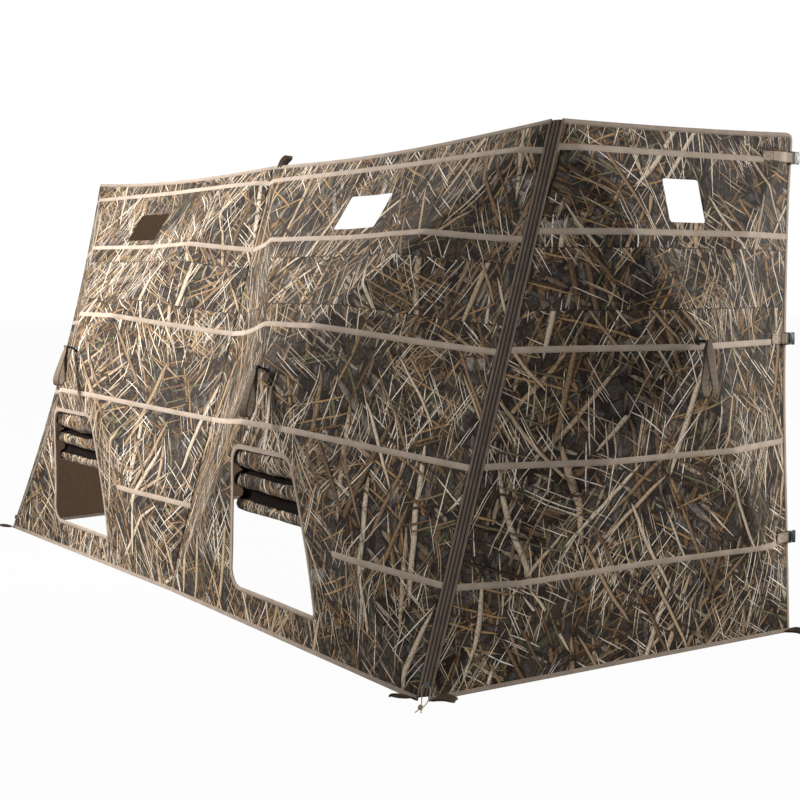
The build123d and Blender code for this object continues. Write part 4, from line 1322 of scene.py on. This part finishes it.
def makeTails(panel):
    outward = -1 if panel.mirrored else 1
    flatWay = panel.along * outward
    parts = []
    for (height, tail), place in zip(tails.items(), ("low", "middle", "top")):
        eye = Vector(joints[f"buckle_{panel.name}_{place}_swing"]["pos_m"])
        eyeU = (eye - panel.foot).dot(panel.along)
        e = fitting["eye"] - 0.0008
        places = []
        for n in range(9):
            u = eyeU - outward * (tail[0] - n * tailLie["step"])
            if (eyeU - u) * outward < tailLie["clear"]:
                break
            places.append(panel.on(u, height, tailLie["lift"] if n else tailLie["start"]))
        top = eye + panel.out * e
        places.append(top - flatWay * tailLie["rise"][0] - panel.out * tailLie["rise"][1])
        for degrees in tailLie["bend"]:
            a = math.radians(degrees)
            places.append(eye + flatWay * (math.sin(a) * e) + panel.out * (math.cos(a) * e))
        places.append(eye - panel.out * e - flatWay * tailLie["end"])
        name = f"{panel.name}_tail_{int(height * 1000)}"
        parts.append(ribbon(name, course(places), panel.up * -outward, tailWide - tailLie["slim"],
                            tailStrapPaint, thick=tailLie["thick"]))
    straps = joined(f"{panel.name}_tails", parts)
    straps.data.shade_smooth()
    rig.slot(straps, "strip_webbing")
    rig.replaces(straps, f"strap_tails_{panel.name}")
    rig.ride(straps, f"wall_{panel.name}")


# each block: its x and its length, then a width for arm and hook, what it leaves of the whole width
# for rail and shell, and its share of the whole width for the crown
buckleHalf = {
    "wide": 0.0366, "deep": 0.0074, "arm": (0.0060, 0.0195, 0.0035), "hook": (0.0150, 0.0074, 0.0050),
    "rail": (0.0082, 0.0046, 0.006), "shell": (0.0222, 0.0230, 0.0052), "collar": (0.0285, 0.0104),
    "crown": (0.0225, 0.0130, 0.50),
}


def makeBuckle(panel, place):  # one half of a side buckle, held by its bar in the tail's eye
    outward = -1 if panel.mirrored else 1
    spot = Vector(joints[f"buckle_{panel.name}_{place}_swing"]["pos_m"])
    where = axes(spot, panel.along * outward, panel.up, (panel.along * outward).cross(panel.up))
    body = greyPlastic if place == "top" else blackPlastic
    wide, deep = buckleHalf["wide"], buckleHalf["deep"]
    arm, hook, rail, shell, collar, crown = (
        buckleHalf[name] for name in ("arm", "hook", "rail", "shell", "collar", "crown"))
    parts = []
    for end in (-1, 1):
        armAt, hookAt = (arm[0], end * (wide / 2 - 0.0018), 0), (hook[0], end * (wide / 2 - 0.0042), 0.0004)
        parts.append(block(where, armAt, (*arm[1:], deep), blackPlastic, 0.0015))
        parts.append(block(where, hookAt, (*hook[1:], deep * 0.94), blackPlastic, 0.0016, 3, taper=0.7))
    parts.append(makeBar(axes(spot, panel.along, panel.out, panel.up), wide, blackPlastic))
    railSize = (rail[1], wide - rail[2], deep * 0.7)
    parts.append(block(where, (rail[0], 0, -0.0006), railSize, blackPlastic, 0.0012))
    parts.append(block(where, (shell[0], 0, 0), (shell[1], wide - shell[2], deep), body, 0.0022, 4))
    parts.append(block(where, (collar[0], 0, 0), (collar[1], wide, deep), body, 0.0022, 4))
    parts.append(block(where, (crown[0], 0, 0.0005), (crown[1], wide * crown[2], deep), body, 0.0012, 3))
    buckle = joined(f"{panel.name}_buckle_{place}", parts)
    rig.slot(buckle, "buckle_grey" if place == "top" else "buckle_black")
    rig.replaces(buckle, f"buckle_{panel.name}_{place}")
    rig.ride(buckle, f"buckle_{panel.name}_{place}_body")


for panel in (endRight, endLeft):
    makeTails(panel)
    for place in ("low", "middle", "top"):
        makeBuckle(panel, place)
print("tails and buckles done")


# door flaps, folded up behind the doors' heads
# shares of a fold's height with shares of the recess between folds
foldCrown = ((0.06, 1.0), (0.20, 0.30), (0.46, 0.0), (0.70, 0.08), (0.86, 0.50))
foldLip = ((0.06, 1.0), (0.36, 0.96), (0.50, 0.30), (0.68, 0.0), (0.88, 0.16))
flapRoll = {
    "head": 0.533, "drop": 0.215, "depth": 0.044, "gap": 0.0046, "recess": 0.74, "shadeFrom": 0.40,
    "folds": ((0.0, 0.42, 0.0, foldCrown), (0.42, 0.28, 0.06, foldCrown), (0.70, 0.30, 0.22, foldLip)),
    "back": ((0.50, 1.0), (0.80, 0.97), (0.93, 0.80), (0.80, 0.66), (0.95, 0.5), (0.82, 0.34), (0.92, 0.2)),
    "seed": {"front_right": 5, "front_left": 9}, "print": {"front_right": 17.0, "front_left": 23.0},
    "flat": (0.505, 0.520), "meanWide": 0.42, "sag": 0.020, "creases": ((7, 9, 0.006), (22, 18, 0.0026)),
    "sideFoot": 0.097, "sideHead": 0.528, "pastLeft": 0.016, "pastRight": 0.008, "fromCorner": 0.021,
    "in": 0.0012,
}


def flapSection():  # the roll's outline as places across its depth and down its drop, front first
    depth, drop = flapRoll["depth"], flapRoll["drop"]
    front = []
    for start, fold, back, shape in flapRoll["folds"]:
        for share, reach in shape:
            x = depth * (back + (flapRoll["recess"] - back) * reach)
            front.append((x, drop * (start + fold * share)))
    profile = [(depth * 0.62, 0.004), (depth * 0.45, 0.0)] + front
    profile += [(depth * x, drop * y) for x, y in flapRoll["back"]] + [(depth * 0.78, 0.012)]
    return profile, (len(front) + 1) / (len(profile) - 1)


def makeFlap(panel):  # a door flap folded up behind the door's head
    head, drop, depth = flapRoll["head"], flapRoll["drop"], flapRoll["depth"]
    middle = doorMiddle(panel) - doorway["headStep"]
    top, low = (panel.world(middle, v, panel.rise(middle, v)) for v in (head, head - drop))
    inward = panel.along.cross(low - top).normalized()
    if inward.dot(panel.out) > 0:
        inward = -inward
    down = (low - top).normalized()
    origin = top + inward * flapRoll["gap"]
    profile, lastFront = flapSection()
    flatWay = course([Vector((x, y, 0)) for x, y in profile])
    lowLeft, lowRight, highRight, highLeft = doorSides(panel)
    random.seed(flapRoll["seed"][panel.name])
    shiftNoise = random.uniform(0, 40)

    def sides(y):
        share = (head - y - flapRoll["sideFoot"]) / (flapRoll["sideHead"] - flapRoll["sideFoot"])
        left = lowLeft[0] - flapRoll["pastLeft"] + (highLeft[0] - lowLeft[0]) * share
        right = lowRight[0] + flapRoll["pastRight"] + (highRight[0] - lowRight[0]) * share
        corner, hub = panel.corners[0], panel.hub
        left = max(left, corner.x + (hub.x - corner.x) * (head - y) / hub.y + flapRoll["fromCorner"])
        return left + flapRoll["in"], right - flapRoll["in"]

    def where(p, q):
        place = flatWay(q)
        left, right = sides(place.y)
        u = right + (left - right) * p
        crease = sum(noise.noise(Vector((u * a, q * b, shiftNoise))) * deep
                     for a, b, deep in flapRoll["creases"])
        edge = min(1.0, min(p, 1 - p) * 14)
        x = max(0.0006, min(depth - 0.001, place.x + crease * edge))
        sway = noise.noise(Vector((u * 4, 2.0, shiftNoise)))
        sag = flapRoll["sag"] * sway * math.sin(math.pi * place.y / drop)
        lean = panel.rise(u, head - place.y - sag) - panel.rise(middle, head - place.y - sag)
        point = origin + inward * x + down * min(place.y + sag, drop) + panel.along * (u - middle)
        return bow(panel, point + panel.out * min(0.0, lean))

    flap = mapped(f"{panel.name}_flap", 64, 110, where, [camoCloth, innerCloth], thick=0.0018, offset=1)
    layer = flap.data.uv_layers["UVMap"]
    flap.data.materials.append(foldShade)
    for face in flap.data.polygons:
        far = max((flap.data.vertices[n].co - origin).dot(inward) for n in face.vertices)
        if layer.data[face.loop_start].uv.y < lastFront and far > depth * flapRoll["shadeFrom"]:
            face.material_index = 2
    for loop in flap.data.loops:
        u, v = layer.data[loop.index].uv
        layer.data[loop.index].uv = (flapRoll["print"][panel.name] + u * 0.5, v * 0.5)
    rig.replaces(flap, f"door_flap_{panel.name}")
    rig.slot(flap, "camo_cloth")
    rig.ride(flap, f"door_flap_{panel.name}_body")
    wide, tall = flapRoll["flat"]
    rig.sheet(flap, flat=(wide, tall), held="folded", area=flapRoll["meanWide"] * tall,
             rests_on=[f"{panel.name}_skin"])


for panel in (frontRight, frontLeft):
    makeFlap(panel)
print("door flaps done")


# stake loops, top loop, pull cord
stakes = {"front_right": ((1, 235),), "front_left": ((0, 235),), "end_right": ((0, 38), (1, 20)),
          "end_left": ((1, 142), (0, 160))}
stakeLoop = {
    "in": 0.012, "wide": 0.0176, "thick": 0.0013, "twist": 0.78, "wander": 0.004,
    "places": ((-0.004, 0.0012), (0.014, 0.0062), (0.030, 0.0090), (0.047, 0.0085), (0.0585, 0.0070),
               (0.0610, 0.0092), (0.0560, 0.0112), (0.040, 0.0128), (0.022, 0.0122), (-0.004, 0.0060)),
}
topTab = {
    "along": 0.0503, "below": 0.0016, "behind": 0.0042, "wide": 0.024, "thick": 0.0014, "twist": 0.22,
    "places": ((-0.010, -0.008), (-0.0095, 0.006), (-0.004, 0.019), (0.008, 0.030), (0.024, 0.036),
               (0.034, 0.0335), (0.035, 0.026), (0.022, 0.017), (0.011, 0.006), (0.009, -0.008)),
}


# a webbing loop sewn to the hem's end, lying half open on the floor
def makeStake(panel, corner, degrees, n):
    way = 1 if corner == 0 else -1
    foot = panel.world(panel.corners[corner].x + way * stakeLoop["in"], 0)
    out = floorWay(degrees)
    side = Vector((-out.y, out.x, 0))
    path = course([foot + out * a + side * (stakeLoop["wander"] * math.sin(a * 70)) + Vector((0, 0, b))
                   for a, b in stakeLoop["places"]])
    return ribbon(f"stake_loop_{panel.name}_{n}", path, side, stakeLoop["wide"], darkStrap,
                  thick=stakeLoop["thick"], twist=lambda q: stakeLoop["twist"] * math.sin(q * 2 * math.pi))


for panel in panels:
    loops = [makeStake(panel, *spec, n) for n, spec in enumerate(stakes[panel.name])]
    for loop in loops:
        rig.slot(loop, "edge_binding")
        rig.replaces(loop, f"binding_{panel.name}")
        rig.ride(loop, f"wall_{panel.name}")


def makeTopTab():  # the webbing loop on the top edge, which leans over the hem
    height = frontRight.corners[3].y - topTab["below"]
    foot = frontRight.world(topTab["along"], height, -topTab["behind"])
    path = course([foot + frontRight.along * a + frontRight.up * b for a, b in topTab["places"]])
    tab = ribbon("top_edge_loop", path, frontRight.out, topTab["wide"], darkStrap, thick=topTab["thick"],
                 twist=lambda q: topTab["twist"] * math.sin(math.pi * q))
    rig.slot(tab, "dark_webbing")
    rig.replaces(tab, "top_loop")
    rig.ride(tab, "wall_front_right")


makeTopTab()


def inPlane(panel):
    steep = up.normalized()
    return (panel.along - steep * panel.along.dot(steep)).normalized()


# the slider's pull: the places of each strand to the side of its eye and behind it
cord = {
    "thick": 0.003, "eyeHalf": 0.011, "lying": 0.0018, "firstDrop": 0.030,
    "route": ((0.010, -0.010), (0.006, -0.028), (0.0018, -0.070), (0.007, -0.096)),
    "knot": {"back": -0.070, "height": 0.0066, "round": 0.0043, "long": 0.0084, "thick": 0.0021, "turns": 2},
}


def makeKnot(middle, flat, back):  # a closed coil of the cord round its two strands
    knot = cord["knot"]
    places = []
    for n in range(15):
        a = n / 14 * knot["turns"] * 2 * math.pi
        ring = flat * math.cos(a) * knot["round"] + Vector((0, 0, math.sin(a) * knot["round"]))
        places.append(middle + ring + back * (knot["long"] / 2 - n / 14 * knot["long"]))
    turns = course(places)
    mesh = bmesh.new()
    bmesh.ops.create_grid(mesh, x_segments=10, y_segments=90, size=0.5)
    for vert in mesh.verts:
        p, q = vert.co.x + 0.5, vert.co.y + 0.5
        way = (turns(min(1, q + 0.01)) - turns(max(0, q - 0.01))).normalized()
        side = (back - way * back.dot(way)).normalized()
        a = p * 2 * math.pi
        vert.co = turns(q) + (side * math.cos(a) + way.cross(side) * math.sin(a)) * knot["thick"]
    bmesh.ops.remove_doubles(mesh, verts=mesh.verts, dist=1e-6)
    bmesh.ops.holes_fill(mesh, edges=mesh.edges[:])
    bmesh.ops.recalc_face_normals(mesh, faces=mesh.faces)
    item = newObject("pull_cord_knot", mesh)
    item.data.materials.append(cordFibre)
    return item


def makeCord():  # the slider's pull: a thin cord through its eye, both strands down to a knot on the floor
    low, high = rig.box("zip_slider_right")
    eye = (low + high) / 2
    across = (inPlane(frontRight) + inPlane(endRight)).normalized()
    flat = Vector((across.x, across.y, 0)).normalized()
    back = Vector((-flat.y, flat.x, 0))
    strands = []
    for side in (-1, 1):
        strand = [eye + across * cord["eyeHalf"] * side]
        for n, (x, y) in enumerate(cord["route"]):
            z = cord["lying"] if n else eye.z - cord["firstDrop"]
            strand.append(Vector((eye.x, eye.y, z)) + flat * x * side + back * y)
        strands.append(strand)
    points = strands[0][::-1] + strands[1]
    data = bpy.data.curves.new("pull_cord", "CURVE")
    data.dimensions = "3D"
    data.bevel_depth = cord["thick"] / 2
    data.bevel_resolution = 5
    data.resolution_u = 16
    data.use_fill_caps = True
    line = data.splines.new("NURBS")
    line.points.add(len(points) - 1)
    for point, spot in zip(line.points, points):
        point.co = (*spot, 1)
    line.order_u = 3
    line.use_endpoint_u = True
    data.materials.append(cordFibre)
    strand = bpy.data.objects.new("pull_cord", data)
    bpy.context.scene.collection.objects.link(strand)
    middle = Vector((eye.x, eye.y, 0)) + back * cord["knot"]["back"] + Vector((0, 0, cord["knot"]["height"]))
    knot = makeKnot(middle, flat, back)
    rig.replaces(strand, "zip_pull_cord")
    for item in (strand, knot):
        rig.slot(item, "cord")
        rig.ride(item, "slider_right")
    length = sum(part.calc_length() for part in data.splines)
    print("cord length", round(length, 4))
    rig.cord(strand, exit=points[0], length=length, diameter=cord["thick"], far_end="knot", stiffness="limp",
            lay="loose", with_pieces=[knot])


makeCord()
print("loops and cord done")


with open("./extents.json", "w") as sizes:
    boxes = {"cad": cadBox, "scene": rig.bounds()}
    json.dump({name: [list(corner) for corner in box] for name, box in boxes.items()}, sizes)
